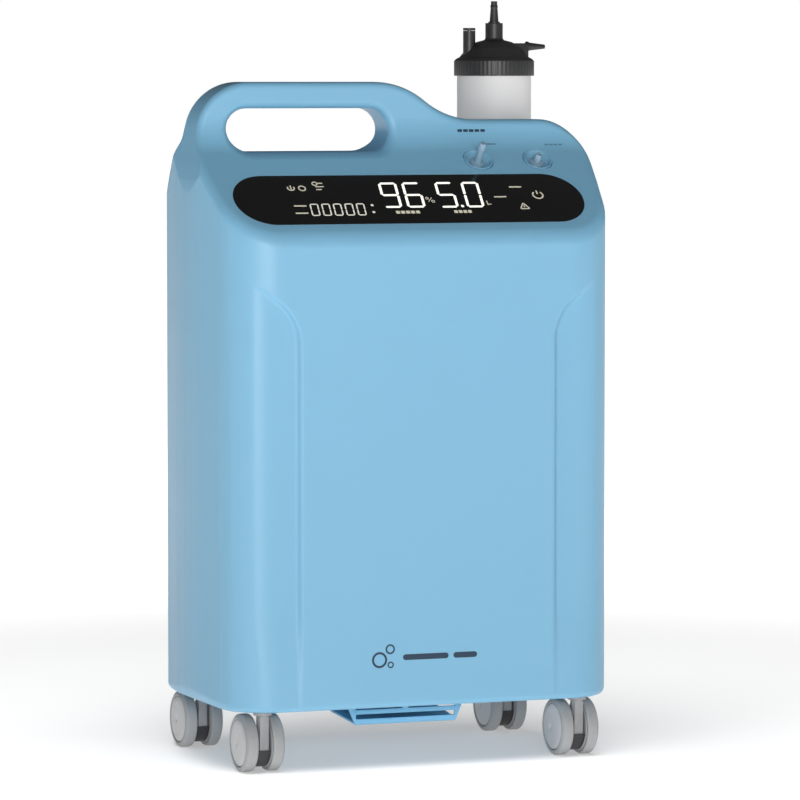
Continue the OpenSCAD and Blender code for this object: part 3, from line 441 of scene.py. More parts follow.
def refined(node, name, width, segments=2):
    """A copy of a CAD node with softened edges, which stands for it."""
    mesh = NODES[node].data.copy()
    mesh.name = name
    mesh.materials.clear()
    bm = bmesh.new()
    bm.from_mesh(mesh)
    bmesh.ops.remove_doubles(bm, verts=bm.verts, dist=0.00001)
    bmesh.ops.dissolve_limit(bm, angle_limit=math.radians(0.5), verts=bm.verts, edges=bm.edges)
    bm.to_mesh(mesh)
    bm.free()
    piece = new_piece(name, mesh)
    bevelled(piece, width, segments)
    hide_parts(node)
    return piece


def lathe(name, profile, segments, place, ripple=None):
    """A solid of revolution about Z from a closed profile of (radius, height) points.

    A ripple says, for an angle, radius and height, how far the surface stands out there.
    """
    verts, faces = [], []
    n = len(profile)
    for i in range(segments):
        a = 2 * math.pi * i / segments
        for r, h in profile:
            grown = r + (ripple(a, r, h) if ripple else 0)
            verts.append((grown * math.cos(a), grown * math.sin(a), h))
    for i in range(segments):
        j = (i + 1) % segments
        for k in range(n):
            m = (k + 1) % n
            if profile[k][0] < 1e-6 and profile[m][0] < 1e-6:
                continue
            faces.append((i * n + k, j * n + k, j * n + m, i * n + m))
    mesh = mesh_from(name, verts, faces)
    bm = bmesh.new()
    bm.from_mesh(mesh)
    bmesh.ops.remove_doubles(bm, verts=bm.verts, dist=0.000002)
    bmesh.ops.dissolve_degenerate(bm, edges=bm.edges, dist=0.000001)
    bm.to_mesh(mesh)
    bm.free()
    mesh.transform(place)
    return finish_mesh(new_piece(name, mesh), 30)


def rounded_profile(corners, step=math.radians(15)):
    """A lathe profile from (radius, height, fillet) corners; a fillet of 0 keeps the corner."""
    points = []
    for i, (x, y, r) in enumerate(corners):
        if r <= 0:
            points.append((x, y))
            continue
        after = corners[(i + 1) % len(corners)]
        points += fillet(corners[i - 1][:2], (x, y), after[:2], r, step, share=0.49)
    return [(max(float(x), 0.0), float(y)) for x, y in points]


def prism_faces(n):
    """Faces between a ring of n points and a second ring of n above it."""
    sides = [(i, (i + 1) % n, n + (i + 1) % n, n + i) for i in range(n)]
    return [tuple(range(n))[::-1], tuple(range(n, 2 * n))] + sides


def prism(name, outline, z0, z1, place):
    """An outline of (x, y) points raised from z0 to z1, in millimetres, then put in its place."""
    verts = [(x, y, z0) for x, y in outline] + [(x, y, z1) for x, y in outline]
    mesh = mesh_from(name, verts, prism_faces(len(outline)))
    mesh.transform(place)
    return finish_mesh(new_piece(name, mesh))


def joined(name, pieces):
    """One piece made of several, keeping each one's faces as they are."""
    bm = bmesh.new()
    for piece in pieces:
        bm.from_mesh(piece.data)
    mesh = bpy.data.meshes.new(name)
    bm.to_mesh(mesh)
    bm.free()
    for piece in pieces:
        bpy.data.objects.remove(piece)
    return finish_mesh(new_piece(name, mesh), 30)


def at(x, y, z, turn=None):
    """Placing matrix for a point in millimetres, after a turn if one is given."""
    place = Matrix.Translation(Vector((x, y, z)) * MM)
    return place @ turn if turn is not None else place


def panel_matrix(x, s):
    """Placing matrix for a point of the sloped panel, with Z out of the panel."""
    place = Matrix.Translation(panel_point(x, s) * MM)
    return place @ Matrix.Rotation(PANEL_TILT, 4, "X")


def dressed(piece, body, material):
    """Gives a piece its body and its material."""
    piece.data.materials.clear()
    piece.data.materials.append(material)
    for face in piece.data.polygons:
        face.material_index = 0
    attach(piece, body)
    return piece


# ---- Materials -----------------------------------------------------------------------------

def plastic(name, colour, rough=0.4, grain=1500.0, bump=0.05, mottle=0.03, coat=0.0, metallic=0.0,
            rough_spread=0.05, mottle_scale=18.0, ior=1.5):
    """Moulded or cast surface: mottled colour, uneven gloss and a fine grain."""
    material = bpy.data.materials.new(name)
    material.use_nodes = True
    nodes, links = material.node_tree.nodes, material.node_tree.links
    shader = nodes["Principled BSDF"]
    shader.inputs["Metallic"].default_value = metallic
    shader.inputs["IOR"].default_value = ior
    shader.inputs["Coat Weight"].default_value = coat
    shader.inputs["Coat Roughness"].default_value = 0.12
    coords = nodes.new("ShaderNodeTexCoord")
    broad = nodes.new("ShaderNodeTexNoise")
    broad.inputs["Scale"].default_value = mottle_scale
    broad.inputs["Detail"].default_value = 4.0
    fine = nodes.new("ShaderNodeTexNoise")
    fine.inputs["Scale"].default_value = grain
    fine.inputs["Detail"].default_value = 2.0
    links.new(coords.outputs["Object"], broad.inputs["Vector"])
    links.new(coords.outputs["Object"], fine.inputs["Vector"])
    tint = nodes.new("ShaderNodeMix")
    tint.data_type = "RGBA"
    tint.inputs["A"].default_value = (*[c * (1 - mottle) for c in colour], 1)
    tint.inputs["B"].default_value = (*[min(1, c * (1 + mottle)) for c in colour], 1)
    links.new(broad.outputs["Fac"], tint.inputs["Factor"])
    links.new(tint.outputs["Result"], shader.inputs["Base Color"])
    gloss = nodes.new("ShaderNodeMapRange")
    gloss.inputs["To Min"].default_value = rough - rough_spread
    gloss.inputs["To Max"].default_value = rough + rough_spread
    links.new(broad.outputs["Fac"], gloss.inputs["Value"])
    links.new(gloss.outputs["Result"], shader.inputs["Roughness"])
    relief = nodes.new("ShaderNodeBump")
    relief.inputs["Strength"].default_value = bump
    relief.inputs["Distance"].default_value = 0.0004
    links.new(fine.outputs["Fac"], relief.inputs["Height"])
    links.new(relief.outputs["Normal"], shader.inputs["Normal"])
    return material


def brushed(name, colour, rough=0.3, stretch=(1, 1, 40), grain=900.0):
    """Drawn or brushed metal: streaks along one axis."""
    material = plastic(name, colour, rough, grain, 0.08, 0.05, metallic=1.0)
    nodes, links = material.node_tree.nodes, material.node_tree.links
    coords = next(n for n in nodes if n.type == "TEX_COORD")
    mapping = nodes.new("ShaderNodeMapping")
    mapping.inputs["Scale"].default_value = [1 / s for s in stretch]
    links.new(coords.outputs["Object"], mapping.inputs["Vector"])
    for noise in [n for n in nodes if n.type == "TEX_NOISE"]:
        links.new(mapping.outputs["Vector"], noise.inputs["Vector"])
    return material


def glowing(name, colour, strength):
    """A lit figure behind the window."""
    material = plastic(name, colour, 0.4)
    shader = material.node_tree.nodes["Principled BSDF"]
    shader.inputs["Emission Color"].default_value = (*colour, 1)
    shader.inputs["Emission Strength"].default_value = strength
    return material


def clear(name, colour, rough, ior, transmission):
    """A plastic or a liquid that lets light through."""
    material = plastic(name, colour, rough, 700.0, 0.1, 0.02, ior=ior)
    material.node_tree.nodes["Principled BSDF"].inputs["Transmission Weight"].default_value = transmission
    return material


BLUE = (0.196, 0.440, 0.625)
shell_blue = plastic("shell_blue", BLUE, 0.42, 1700.0, 0.06, 0.012, rough_spread=0.04)
hood_blue = plastic("hood_blue", (0.19, 0.47, 0.70), 0.45, 1700.0, 0.06, 0.02)
cup_blue = plastic("cup_blue", (0.185, 0.41, 0.57), 0.3, 1700.0, 0.06, 0.02)
window_black = plastic("window_black", (0.008, 0.008, 0.0085), 0.12, 2500.0, 0.01, 0.1, rough_spread=0.02,
                       ior=1.33)
glow_white = glowing("glow_white", (0.93, 0.92, 0.84), 0.7)
glow_soft = glowing("glow_soft", (0.80, 0.78, 0.68), 0.3)
glow_dim = glowing("glow_dim", (0.70, 0.66, 0.52), 0.18)
mark_faint = plastic("mark_faint", (0.09, 0.22, 0.33), 0.5)
mark_dark = plastic("mark_dark", (0.012, 0.035, 0.07), 0.5)
nozzle_clear = plastic("nozzle_clear", (0.24, 0.38, 0.50), 0.18, 900.0, 0.05, 0.05, coat=0.8)
jar_frosted = clear("jar_frosted", (0.84, 0.83, 0.825), 0.5, 1.3, 0.12)
water_clear = clear("water_clear", (0.85, 0.93, 0.96), 0.02, 1.33, 1.0)
lid_black = plastic("lid_black", (0.021, 0.021, 0.022), 0.42, 1200.0, 0.15, 0.1)
seal_black = plastic("seal_black", (0.03, 0.03, 0.03), 0.7, 800.0, 0.2, 0.1)
silicone = plastic("silicone", (0.72, 0.73, 0.72), 0.35, 700.0, 0.1, 0.04)
porous = plastic("porous", (0.60, 0.62, 0.62), 0.8, 1100.0, 0.8, 0.1)
foam_grey = plastic("foam_grey", (0.035, 0.036, 0.04), 0.95, 900.0, 1.0, 0.25)
black_nylon = plastic("black_nylon", (0.022, 0.022, 0.024), 0.45, 1300.0, 0.15, 0.1)
button_red = plastic("button_red", (0.55, 0.02, 0.015), 0.3, 1500.0, 0.05, 0.03)
board_green = plastic("board_green", (0.02, 0.16, 0.07), 0.35, 600.0, 0.3, 0.2)
caster_grey = plastic("caster_grey", (0.30, 0.30, 0.305), 0.45, 1300.0, 0.1, 0.05)
# Tyre tread: a darker grey than the hub cap, with painted shade for the tread curving away from the light
tread_grey_painted_shade = plastic("tread_grey_painted_shade", (0.34, 0.345, 0.35), 0.55, 900.0, 0.2, 0.05)
cap_grey = plastic("cap_grey", (0.53, 0.53, 0.535), 0.38, 1500.0, 0.06, 0.02)
cast_metal = plastic("cast_metal", (0.55, 0.56, 0.57), 0.45, 700.0, 0.5, 0.08, metallic=1.0)
steel = brushed("steel", (0.58, 0.59, 0.60), 0.28)
zinc_plate = brushed("zinc_plate", (0.55, 0.57, 0.58), 0.4, (30, 1, 1))
aluminium = brushed("aluminium", (0.70, 0.71, 0.72), 0.3)
rotor_steel = brushed("rotor_steel", (0.38, 0.39, 0.40), 0.35, (40, 1, 1))

# Every node gets its slot's material; most are then stood for by a finer piece
SLOT_MATERIALS = {
    "shell": shell_blue, "hood": hood_blue, "plate": zinc_plate, "screw": steel,
    "window": window_black, "circuit_board": board_green, "cup": cup_blue, "nozzle": nozzle_clear,
    "jar": jar_frosted, "water": water_clear, "lid": lid_black, "seal": seal_black,
    "tube": silicone, "diffuser": porous, "foam": foam_grey, "black_plastic": black_nylon,
    "button": button_red, "caster_frame": caster_grey, "wheel": cap_grey, "casting": cast_metal,
    "rotor": rotor_steel, "aluminium": aluminium,
}
for part in frame["record"]["subparts"]:
    carried = NODES[part["node"]].data.materials
    carried.clear()
    carried.append(SLOT_MATERIALS[part["material_slot"]])


# ---- Shells --------------------------------------------------------------------------------

def cabinet_surface():
    """The cabinet's skin; the grid is fine round its edges and recesses, and coarse between them."""
    xs = axis_lines(
        (-192, -124, 1.7), (-124, -110, 1.2), (-110, -62, 5), (-62, -58, 0.8), (-58, -30, 4),
        (-30, 44, 2.2), (44, 110, 1.3), (110, 124, 1.2), (124, 148, 1.3), (148, 192, 1.8),
    )
    ys = axis_lines((-119, -78, 2.0), (-78, -50, 2.5), (-50, 32, 1.7), (32, 104, 3.5), (104, 119, 1.5))
    zs = axis_lines(
        (50, 76, 1.8), (76, 101, 1.2), (101, 160, 8), (160, 246, 14), (246, 256, 0.9), (256, 344, 12),
        (344, 354, 0.9), (354, 374, 3), (374, 440, 1.5), (440, 520, 1.8), (520, 545, 1.3),
        (545, 592, 1.7),
    )
    verts, faces = surface_net(xs, ys, zs)
    return settle(verts), faces


def cut_skin(verts, faces, keep_front, gap=0.25):
    """The skin on one side of the parting line: its points, its faces and the edges of its rim."""
    bm = bmesh.new()
    made = [bm.verts.new(v) for v in verts]
    for f in faces:
        if len(set(f)) == 4:
            bm.faces.new([made[i] for i in f])
    cut_y = PART_Y - gap if keep_front else PART_Y + gap
    bmesh.ops.bisect_plane(
        bm, geom=bm.verts[:] + bm.edges[:] + bm.faces[:], dist=0.0001, plane_co=(0, cut_y, 0),
        plane_no=(0, 1, 0), clear_outer=keep_front, clear_inner=not keep_front,
    )
    bmesh.ops.dissolve_limit(
        bm, angle_limit=math.radians(0.25), verts=bm.verts, edges=bm.edges, delimit={"NORMAL"}
    )
    bm.verts.index_update()
    points = np.array([v.co for v in bm.verts])
    skin = [[v.index for v in f.verts] for f in bm.faces]
    rim = [(e.link_loops[0].vert.index, e.link_loops[0].link_loop_next.vert.index)
           for e in bm.edges if len(e.link_faces) == 1]
    bm.free()
    return points, skin, rim


def half_shell(name, verts, faces, keep_front):
    """One half of the cabinet: its skin, an inner skin a wall's thickness in, and the rim between."""
    outer, skin, rim = cut_skin(verts, faces, keep_front)
    n = len(outer)
    normal = gradient(outer)
    inward = normal.copy()
    inward[np.unique(rim), 1] = 0
    inward /= np.linalg.norm(inward, axis=1, keepdims=True)
    all_verts = np.concatenate([outer, outer - WALL * inward])
    polys = skin + [[i + n for i in f[::-1]] for f in skin] + [[b, a, a + n, b + n] for a, b in rim]
    mesh = mesh_from(name, all_verts, polys)
    rim_normal = (0, 1 if keep_front else -1, 0)
    loop_normals = []
    for face in mesh.polygons:
        outside = [v < n for v in face.vertices]
        if all(outside):
            loop_normals += [normal[v] for v in face.vertices]
        elif any(outside):
            loop_normals += [rim_normal] * len(outside)
        else:
            loop_normals += [-normal[v - n] for v in face.vertices]
    mesh.shade_smooth()
    mesh.normals_split_custom_set([tuple(map(float, v)) for v in loop_normals])
    return new_piece(name, mesh)


cabinet_verts, cabinet_faces = cabinet_surface()
SHELLS = (("shell_front", "front_shell", True), ("shell_rear", "rear_cover", False))
for shell_name, node, is_front in SHELLS:
    shell = half_shell(shell_name, cabinet_verts, cabinet_faces, is_front)
    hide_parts(node)
    dressed(shell, "cabinet", shell_blue)


# ---- Display window and its figures --------------------------------------------------------

WINDOW_X = (window_lo[0] + window_hi[0]) / 2
WINDOW_S = 48.5
WINDOW_W = window_hi[0] - window_lo[0]
WINDOW_H = 64.0
WINDOW_PROUD = 0.35
WINDOW_SINK = 1.6
GLYPH_LIFT = 0.12
GLYPH_SINK = 0.05


def stadium(w, h, steps=28):
    """Outline of a slot shape, w long and h high, about the origin."""
    r, half = h / 2, (w - h) / 2
    out = []
    for side, start in ((1, -90), (-1, 90)):
        for k in range(steps + 1):
            a = math.radians(start + 180 * k / steps)
            out.append((side * half + r * math.cos(a), r * math.sin(a)))
    return out


def display_window():
    """The black window, a little proud of the panel."""
    plate = prism("display_window_glass", stadium(WINDOW_W, WINDOW_H), -WINDOW_SINK, WINDOW_PROUD,
                  panel_matrix(WINDOW_X, WINDOW_S))
    bevelled(plate, 0.3, 3, 40)
    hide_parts("display_window")
    return dressed(plate, "cabinet", window_black)


def bar(x0, y0, x1, y1, t):
    """A pointed stroke of thickness t between two points, as seven-segment figures have."""
    d = Vector((x1 - x0, y1 - y0)).normalized() * t / 2
    n = Vector((-d.y, d.x))
    return [(x0, y0), (x0 + d.x - n.x, y0 + d.y - n.y), (x1 - d.x - n.x, y1 - d.y - n.y), (x1, y1),
            (x1 - d.x + n.x, y1 - d.y + n.y), (x0 + d.x + n.x, y0 + d.y + n.y)]


def block(x, y, w, h, r=None):
    """A rounded block about (x, y)."""
    r = min(w, h) * 0.3 if r is None else r
    out = []
    for sx, sy, start in ((1, -1, -90), (1, 1, 0), (-1, 1, 90), (-1, -1, 180)):
        for k in range(4):
            a = math.radians(start + 30 * k)
            out.append((x + sx * (w / 2 - r) + r * math.cos(a), y + sy * (h / 2 - r) + r * math.sin(a)))
    return out


def arc(x, y, r, t, start=0, sweep=360, pieces=24):
    """A ring, or a part of one, as short closed strokes."""
    shapes = []
    for k in range(pieces):
        a = math.radians(start + sweep * k / pieces)
        b = math.radians(start + sweep * (k + 1) / pieces)
        shapes.append([(x + q * math.cos(c), y + q * math.sin(c))
                       for q, c in ((r - t / 2, a), (r + t / 2, a), (r + t / 2, b), (r - t / 2, b))])
    return shapes


# Ends (x0, y0, x1, y1) of a figure's strokes, as shares of its width and height
SEGMENTS = {
    "a": (0, 1, 1, 1), "b": (1, 0.5, 1, 1), "c": (1, 0, 1, 0.5), "d": (0, 0, 1, 0),
    "e": (0, 0, 0, 0.5), "f": (0, 0.5, 0, 1), "g": (0, 0.5, 1, 0.5),
}
FIGURES = {"0": "abcdef", "5": "acdfg", "6": "acdefg", "9": "abcdfg"}
SLANT = 0.10
SEGMENT_GAP = 0.24


def figure(char, x, y, w, h, t):
    """A slanted seven-segment figure whose lower left corner is at (x, y)."""
    shrink = 1 - SEGMENT_GAP * t / max(w, h / 2)
    shapes = []
    for name in FIGURES[char]:
        x0, y0, x1, y1 = SEGMENTS[name]
        cx, cy = (x0 + x1) / 2 * w, (y0 + y1) / 2 * h
        shape = []
        for px, py in bar(x0 * w, y0 * h, x1 * w, y1 * h, t):
            up = cy + (py - cy) * shrink
            shape.append((x + cx + (px - cx) * shrink + SLANT * up, y + up))
        shapes.append(shape)
    return shapes


def on_window(name, shapes, material):
    """Thin lit shapes lying on the window, placed by panel coordinates."""
    low, high = WINDOW_PROUD - GLYPH_SINK, WINDOW_PROUD + GLYPH_LIFT
    pieces = [prism(name + "_part", shape, low, high, panel_matrix(0, 0)) for shape in shapes]
    return dressed(joined(name, pieces), "cabinet", material)


def display_figures():
    """Two large readings, and a row of five small zeros."""
    bright = figure("9", -29.5, 38, 14.5, 31, 2.4) + figure("6", -8.0, 38, 14.5, 31, 2.4)
    bright += figure("5", 22.5, 37.5, 14.5, 31.5, 2.4) + figure("0", 47.0, 37.5, 14.0, 31.5, 2.4)
    bright.append(block(41.8, 38.2, 2.6, 2.6))
    on_window("figures_large", bright, glow_white)
    small = []
    for k in range(5):
        small += figure("0", -98.5 + 10.5 * k, 28, 6.6, 14.5, 1.2)
    small += [block(-41.0, 40.5, 2.4, 2.4), block(-42.0, 31.5, 2.4, 2.4)]
    on_window("figures_small", small, glow_soft)


def display_icons():
    """Generic signs and faint bars round the figures, in millimetres on the panel."""
    dim = arc(-108.5, 64, 3.0, 1.1, 150, 240) + [block(-108.5, 64.6, 1.1, 5.5)]
    dim += arc(-98.5, 63.5, 3.0, 1.1)
    dim += arc(-85.5, 69.5, 2.2, 1.0) + [block(-80.5, 70.0, 4.5, 1.1), block(-82.0, 65.5, 8.0, 1.1)]
    dim += [block(-83.5, 61.8, 5.0, 1.1)]
    dim += [block(-106.5, 40.5, 11.5, 1.5), block(-107.5, 31.0, 11.5, 1.5)]
    dim += arc(12.0, 49.0, 1.3, 0.7, pieces=12) + arc(16.5, 45.0, 1.3, 0.7, pieces=12)
    dim += [bar(12.2, 44.2, 16.4, 49.8, 0.7)]
    dim += [block(66.0, 42.5, 1.0, 5.0), block(67.4, 40.3, 3.8, 1.0)]
    dim += [block(80.5, 50.0, 11.5, 1.5), block(98.5, 63.0, 11.5, 1.5)]
    corners = [(94.8, 34.0), (103.4, 34.0), (99.1, 41.5)]
    dim += [bar(*corners[k], *corners[(k + 1) % 3], 1.1) for k in range(3)]
    dim += [block(99.1, 37.2, 0.9, 3.0)]
    dim += arc(116.5, 52.0, 4.6, 1.3, 130, 280) + [block(116.5, 55.6, 1.2, 4.6)]
    dim += [block(-20.0 + 4.6 * k, 31.0, 3.6, 3.6, 0.6) for k in range(5)]
    dim += [block(33.5 + 4.3 * k, 31.0, 3.3, 3.6, 0.6) for k in range(4)]
    on_window("display_icons", dim, glow_dim)


# ---- Printed marks, all generic ------------------------------------------------------------

PRINT_SINK = 0.15
PRINT_LIFT = 0.12


def printed(name, shapes, to_body, material):
    """Flat shapes printed on the cabinet, laid on its curved skin."""
    pieces = []
    for shape in shapes:
        base = settle(np.array([to_body(x, y) for x, y in shape]), 6)
        out = gradient(base)
        verts = list(base - PRINT_SINK * out) + list(base + PRINT_LIFT * out)
        mesh = mesh_from(name, verts, prism_faces(len(shape)))
        pieces.append(finish_mesh(new_piece(name + "_part", mesh)))
    return dressed(joined(name, pieces), "cabinet", material)


def printed_marks():
    """A plain group of rings and bars on the front, and blocks in place of the outlets' words."""
    def on_front(x, z):
        return (x, FRONT_Y, z)

    def on_slope(x, s):
        return tuple(panel_point(x, s))

    mark = arc(-46.0, 95.0, 6.0, 1.9) + arc(-36.2, 104.0, 3.6, 1.5) + arc(-35.8, 90.5, 2.3, 1.2)
    mark += [block(-3.5, 96.5, 42.0, 5.0, 2.4), block(33.0, 96.5, 22.0, 5.0, 2.4)]
    printed("front_mark", mark, on_front, mark_dark)
    labels = [block(66.5 + 5.4 * k, 136.5, 4.4, 3.4, 0.6) for k in range(5)]
    printed("outlet_labels", labels, on_slope, mark_dark)
    faint = [block(92.5, 120.5, 11.0, 1.6, 0.6)]
    faint += [block(146.0 + 4.4 * k, 119.5, 3.5, 1.8, 0.5) for k in range(4)]
    printed("outlet_labels_faint", faint, on_slope, mark_faint)


# ---- Outlets -------------------------------------------------------------------------------

def outlet(tag, x, length):
    """A dished cup in the panel, and a hose nozzle of a given length in it."""
    cup = lathe(tag + "_cup_dish", rounded_profile([
        (13.0, -7.0, 0.3), (13.0, 0.4, 0.35), (11.8, 0.4, 0.5), (10.4, -3.2, 2.0), (7.4, -5.2, 1.2),
        (4.3, -5.5, 0.2), (4.3, -7.0, 0.2),
    ]), 96, panel_matrix(x, OUTLET_S))
    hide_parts(tag + "_cup")
    dressed(cup, "cabinet", cup_blue)
    top = length - 3.5
    spout = lathe(tag + "_nozzle_spout", rounded_profile([
        (1.5, -15.0, 0), (4.0, -15.0, 0.3), (4.0, -5.4, 0), (6.4, -5.4, 0.3), (6.4, -3.0, 0.8),
        (3.1, -2.6, 0.8), (2.8, top - 7.0, 0), (3.7, top - 6.8, 0.2), (2.9, top - 3.6, 0),
        (3.7, top - 3.4, 0.2), (2.6, top, 0.5), (1.5, top, 0.3),
    ]), 64, panel_matrix(x, OUTLET_S))
    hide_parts(tag + "_nozzle")
    dressed(spout, "cabinet", nozzle_clear)


# ---- Humidifier ----------------------------------------------------------------------------

JAR_WALL = 2.2
JAR_GAP = 0.4
RELIEF_X = JAR_X - 24
SKIRT_H = 13.3
DOME_H = 32.3


def humidifier_jar():
    """The frosted jar with its two level rings, and the seat round its foot."""
    jar_top, inner_r = jar_hi[2], JAR_R - JAR_WALL
    rings = []
    for z in (NICHE_Z + 35, NICHE_Z + 95):
        rings += [(JAR_R, z, 0), (JAR_R + 0.35, z + 0.5, 0)]
        rings += [(JAR_R + 0.35, z + 1.1, 0), (JAR_R, z + 1.6, 0)]
    outside = [(0, NICHE_Z, 0), (JAR_R, NICHE_Z, 5.0)] + rings + [(JAR_R, jar_top, 0.6)]
    inside = [(inner_r, jar_top, 0.6), (inner_r, NICHE_Z + 3, 4.0), (0, NICHE_Z + 3, 0)]
    jar = lathe("jar_bottle", rounded_profile(outside + inside), 128, at(JAR_X, JAR_Y, 0))
    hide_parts("humidifier_jar")
    dressed(jar, "jar", jar_frosted)
    seat_in, seat_out = JAR_R + JAR_GAP, JAR_R + 4
    seat_low, seat_high = NICHE_Z - 0.2, NICHE_Z + 8
    seat = lathe("jar_seat_ring", rounded_profile([
        (seat_in, seat_low, 0), (seat_out, seat_low, 0), (seat_out, seat_high, 1.0),
        (seat_in, seat_high, 0.8),
    ]), 96, at(JAR_X, JAR_Y, 0))
    dressed(seat, "cabinet", shell_blue)


def humidifier_lid():
    """Ribbed skirt, stepped dome, the relief valve's turret and the block behind the horn."""
    jar_top, skirt, boss_top = jar_hi[2], lid_lo[2], lid_hi[2]
    roof, dome = skirt + SKIRT_H, skirt + DOME_H

    def ribs(a, r, h):
        return -0.25 * abs(math.sin(30 * a)) if r > LID_R - 0.6 and h < roof else 0.0

    body = lathe("lid_body", rounded_profile([
        (LID_R, skirt, 0.5), (LID_R, roof, 0.8), (LID_R - 2, roof + 2, 1.0), (31, roof + 3.5, 2.0),
        (24, roof + 12, 8.0), (16, roof + 17, 6.0), (7.85, dome, 2.5), (7.85, boss_top, 0.7),
        (3.4, boss_top, 0.3), (3.4, dome - 4, 0.3), (9, dome - 4, 1.0), (20, dome - 9, 2.0),
        (27, roof + 2, 1.0), (28, jar_top + 1.5, 0.3), (JAR_R + JAR_GAP, jar_top + 1.5, 0.3),
        (JAR_R + JAR_GAP, skirt, 0.3),
    ]), 360, at(JAR_X, JAR_Y, 0), ribs)
    turret_top = boss_top - 7
    turret = lathe("lid_turret", rounded_profile([
        (0, roof - 0.5, 0), (5.5, roof - 0.5, 0), (5.5, turret_top, 0.15), (4.2, turret_top, 0.3),
        (4.2, roof + 11, 0), (0, roof + 11, 0),
    ]), 64, at(RELIEF_X, JAR_Y, 0))
    horn_block = prism("lid_horn_block", [(17, -7), (31, -7), (31, 7), (17, 7)], roof + 1, dome - 3,
                       at(JAR_X, JAR_Y, 0))
    bevelled(horn_block, 1.2)
    lid = joined("lid_cap", [body, turret, horn_block])
    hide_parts("humidifier_lid")
    dressed(lid, "lid", lid_black)
    for node in ("inlet_barb", "outlet_horn"):
        dressed(refined(node, node + "_moulded", 0.3), "lid", lid_black)
    dressed(refined("relief_cap", "relief_cap_moulded", 0.15), "relief_valve", lid_black)


# ---- Casters -------------------------------------------------------------------------------

# The caster frame's faces are black below this height and grey above it
BLACK_BELOW_Z = 20.5


def wheel(tag, side):
    """A twin caster's wheel: a tyre on its rim, and the cap over its outer face."""
    node = f"wheel_{tag}_{side}"
    lo, hi = corners_mm(node)
    centre = (lo + hi) / 2
    outward = math.copysign(1, centre[0]) * (1 if side == "outer" else -1)
    place = at(*centre, Matrix.Rotation(outward * math.pi / 2, 4, "Y"))
    r = (hi[2] - lo[2]) / 2
    half = (hi[0] - lo[0]) / 2
    tread = lathe(f"tread_{tag}_{side}", rounded_profile([
        (3.4, -half + 0.1, 0.3), (r - 4.5, -half + 0.1, 0.4), (r - 3.5, -half + 1.0, 0.4),
        (r - 1, -half + 0.6, 0.8), (r, -half + 2.4, 1.5), (r, half - 2.6, 2.6),
        (r - 3.4, half - 0.7, 1.2), (r - 4.6, half - 1.4, 0.3), (r - 5, half - 3.0, 0.3),
        (3.4, half - 3.0, 0.3),
    ]), 96, place)
    cap = lathe(f"hub_cap_{tag}_{side}", rounded_profile([
        (0, half - 2.9, 0), (r - 5.2, half - 2.9, 0.2), (r - 5.0, half - 1.5, 0.8),
        (r - 9, half - 0.5, 12), (8, half - 0.02, 12), (3.2, half - 0.02, 0.3),
        (2.6, half - 0.6, 0.3), (0, half - 0.6, 0),
    ]), 96, place)
    # The tread takes the grey with painted shade in it; the cap takes the light grey
    for piece, material in ((tread, tread_grey_painted_shade), (cap, cap_grey)):
        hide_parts(node)
        dressed(piece, node, material)


def caster(tag):
    """The caster frame, grey above a set height and black below it, and both wheels."""
    node = "caster_frame_" + tag
    column = refined(node, node + "_moulded", 0.4)
    dressed(column, "caster_" + tag, caster_grey)
    column.data.materials.append(black_nylon)
    for face in column.data.polygons:
        face.material_index = int(face.center.z < BLACK_BELOW_Z * MM)
    wheel(tag, "outer")
    wheel(tag, "inner")


# ---- Back and underside --------------------------------------------------------------------

def mouldings():
    """Exhaust hood, intake door, mains inlet and breaker, with softened edges."""
    dressed(refined("exhaust_hood", "exhaust_hood_moulded", 0.8), "cabinet", hood_blue)
    dressed(refined("filter_door", "filter_door_moulded", 0.6), "intake_door", shell_blue)
    dressed(refined("power_inlet", "power_inlet_moulded", 0.4), "cabinet", black_nylon)
    dressed(refined("breaker_body", "breaker_moulded", 0.4), "cabinet", black_nylon)
    dressed(refined("breaker_button", "breaker_cap", 0.7, 3), "reset_button", button_red)


display_window()
display_figures()
display_icons()
printed_marks()
outlet("oxygen", OUTLET_XS[0], 22)
outlet("nebuliser", OUTLET_XS[1], 9)
humidifier_jar()
humidifier_lid()
for caster_tag in ("fl", "fr", "rl", "rr"):
    caster(caster_tag)
mouldings()

# ---- Camera, floor and lights, in metres ---------------------------------------------------

def aim_camera():
    """A long lens a little to the object's left, just above its handle."""
    yaw, pitch, distance = math.radians(20.85), math.radians(3.87), 4.198
    aim_right, aim_height = 0.01577, 0.31005
    ahead = Vector((math.sin(yaw) * math.cos(pitch), math.cos(yaw) * math.cos(pitch), -math.sin(pitch)))
    right = Vector((math.cos(yaw), -math.sin(yaw), 0))
    camera = bpy.data.objects.new("camera", bpy.data.cameras.new("camera"))
    bpy.context.scene.collection.objects.link(camera)
    camera.data.sensor_width = 36
    camera.data.lens = 214.65
    camera.data.clip_end = 100
    camera.location = right * aim_right + Vector((0, 0, aim_height)) - ahead * distance
    camera.rotation_mode = "QUATERNION"
    camera.rotation_quaternion = ahead.to_track_quat("-Z", "Y")
    bpy.context.scene.camera = camera


def softbox(name, place, target, size, power):
    """A rectangular lamp that faces its target."""
    light = bpy.data.objects.new(name, bpy.data.lights.new(name, "AREA"))
    bpy.context.scene.collection.objects.link(light)
    light.data.shape = "RECTANGLE"
    light.data.size, light.data.size_y = size
    light.data.energy = power
    light.location = place
    light.rotation_mode = "QUATERNION"
    light.rotation_quaternion = (Vector(target) - Vector(place)).to_track_quat("-Z", "Y")
    return light


# The floor's glow under the object, and the distances over which it grows to its full strength
GLOW_UNDER = 0.36
GLOW_FROM = 0.8
GLOW_FULL = 1.9


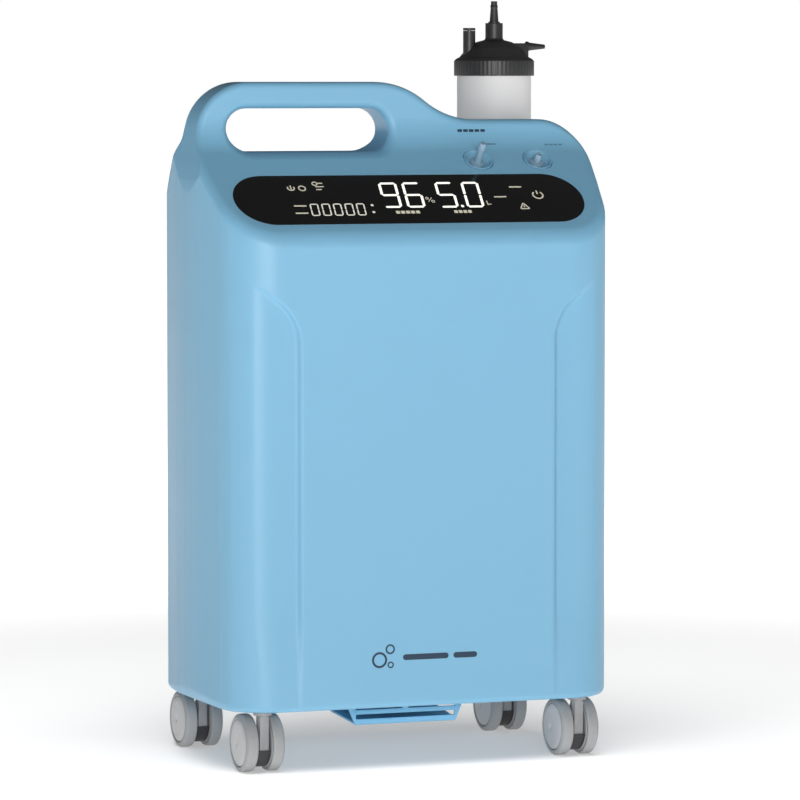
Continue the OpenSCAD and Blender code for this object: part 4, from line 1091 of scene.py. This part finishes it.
def floor():
    """A pale floor that glows a little, so that it runs out into the white backdrop."""
    size = 60.0
    corners = [(-size, -size, 0), (size, -size, 0), (size, size, 0), (-size, size, 0)]
    mesh = mesh_from("floor", corners, [(0, 1, 2, 3)], 1.0)
    piece = new_piece("floor", mesh)
    white = plastic("floor_white", (0.45, 0.45, 0.45), 0.75, 60.0, 0.02, 0.004)
    nodes, links = white.node_tree.nodes, white.node_tree.links
    shader = nodes["Principled BSDF"]
    shader.inputs["Emission Color"].default_value = (1, 1, 1, 1)
    coords = next(n for n in nodes if n.type == "TEX_COORD")
    reach = nodes.new("ShaderNodeVectorMath")
    reach.operation = "LENGTH"
    links.new(coords.outputs["Object"], reach.inputs[0])
    glow = nodes.new("ShaderNodeMapRange")
    glow.interpolation_type = "SMOOTHSTEP"
    glow.inputs["From Min"].default_value = GLOW_FROM
    glow.inputs["From Max"].default_value = GLOW_FULL
    glow.inputs["To Min"].default_value = GLOW_UNDER
    glow.inputs["To Max"].default_value = 1.0
    links.new(reach.outputs["Value"], glow.inputs["Value"])
    links.new(glow.outputs["Result"], shader.inputs["Emission Strength"])
    mesh.materials.append(white)
    return piece


# Strength of the surround's light from in front of the object and from behind it
FILL_IN_FRONT = 0.21
FILL_BEHIND = 0.075


def world_light():
    """White to the camera; for lighting, a dim surround that darkens towards the back."""
    world = bpy.data.worlds.new("studio")
    world.use_nodes = True
    nodes, links = world.node_tree.nodes, world.node_tree.links
    back = nodes["Background"]
    back.inputs["Color"].default_value = (1, 1, 1, 1)
    coords = nodes.new("ShaderNodeTexCoord")
    axes = nodes.new("ShaderNodeSeparateXYZ")
    links.new(coords.outputs["Generated"], axes.inputs["Vector"])
    surround = nodes.new("ShaderNodeMapRange")
    surround.inputs["From Min"].default_value = -1.0
    surround.inputs["To Min"].default_value = FILL_IN_FRONT
    surround.inputs["To Max"].default_value = FILL_BEHIND
    links.new(axes.outputs["Y"], surround.inputs["Value"])
    path = nodes.new("ShaderNodeLightPath")
    chosen = nodes.new("ShaderNodeMix")
    chosen.inputs["B"].default_value = 1.0
    links.new(path.outputs["Is Camera Ray"], chosen.inputs["Factor"])
    links.new(surround.outputs["Result"], chosen.inputs["A"])
    links.new(chosen.outputs["Result"], back.inputs["Strength"])
    bpy.context.scene.world = world


def lamps(ground):
    """A key light in front, and a broad one above that falls on the floor alone."""
    softbox("key", (-1.5, -4.9, 1.05), (0, 0, 0.3), (1.8, 1.3), 118)
    overhead = softbox("overhead", (-0.7, -1.3, 4.0), (0, -0.2, 0), (3.0, 3.0), 300)
    lit = bpy.data.collections.new("floor_only")
    lit.objects.link(ground)
    overhead.light_linking.receiver_collection = lit


aim_camera()
world_light()
lamps(floor())
bpy.context.scene.view_settings.view_transform = "Standard"
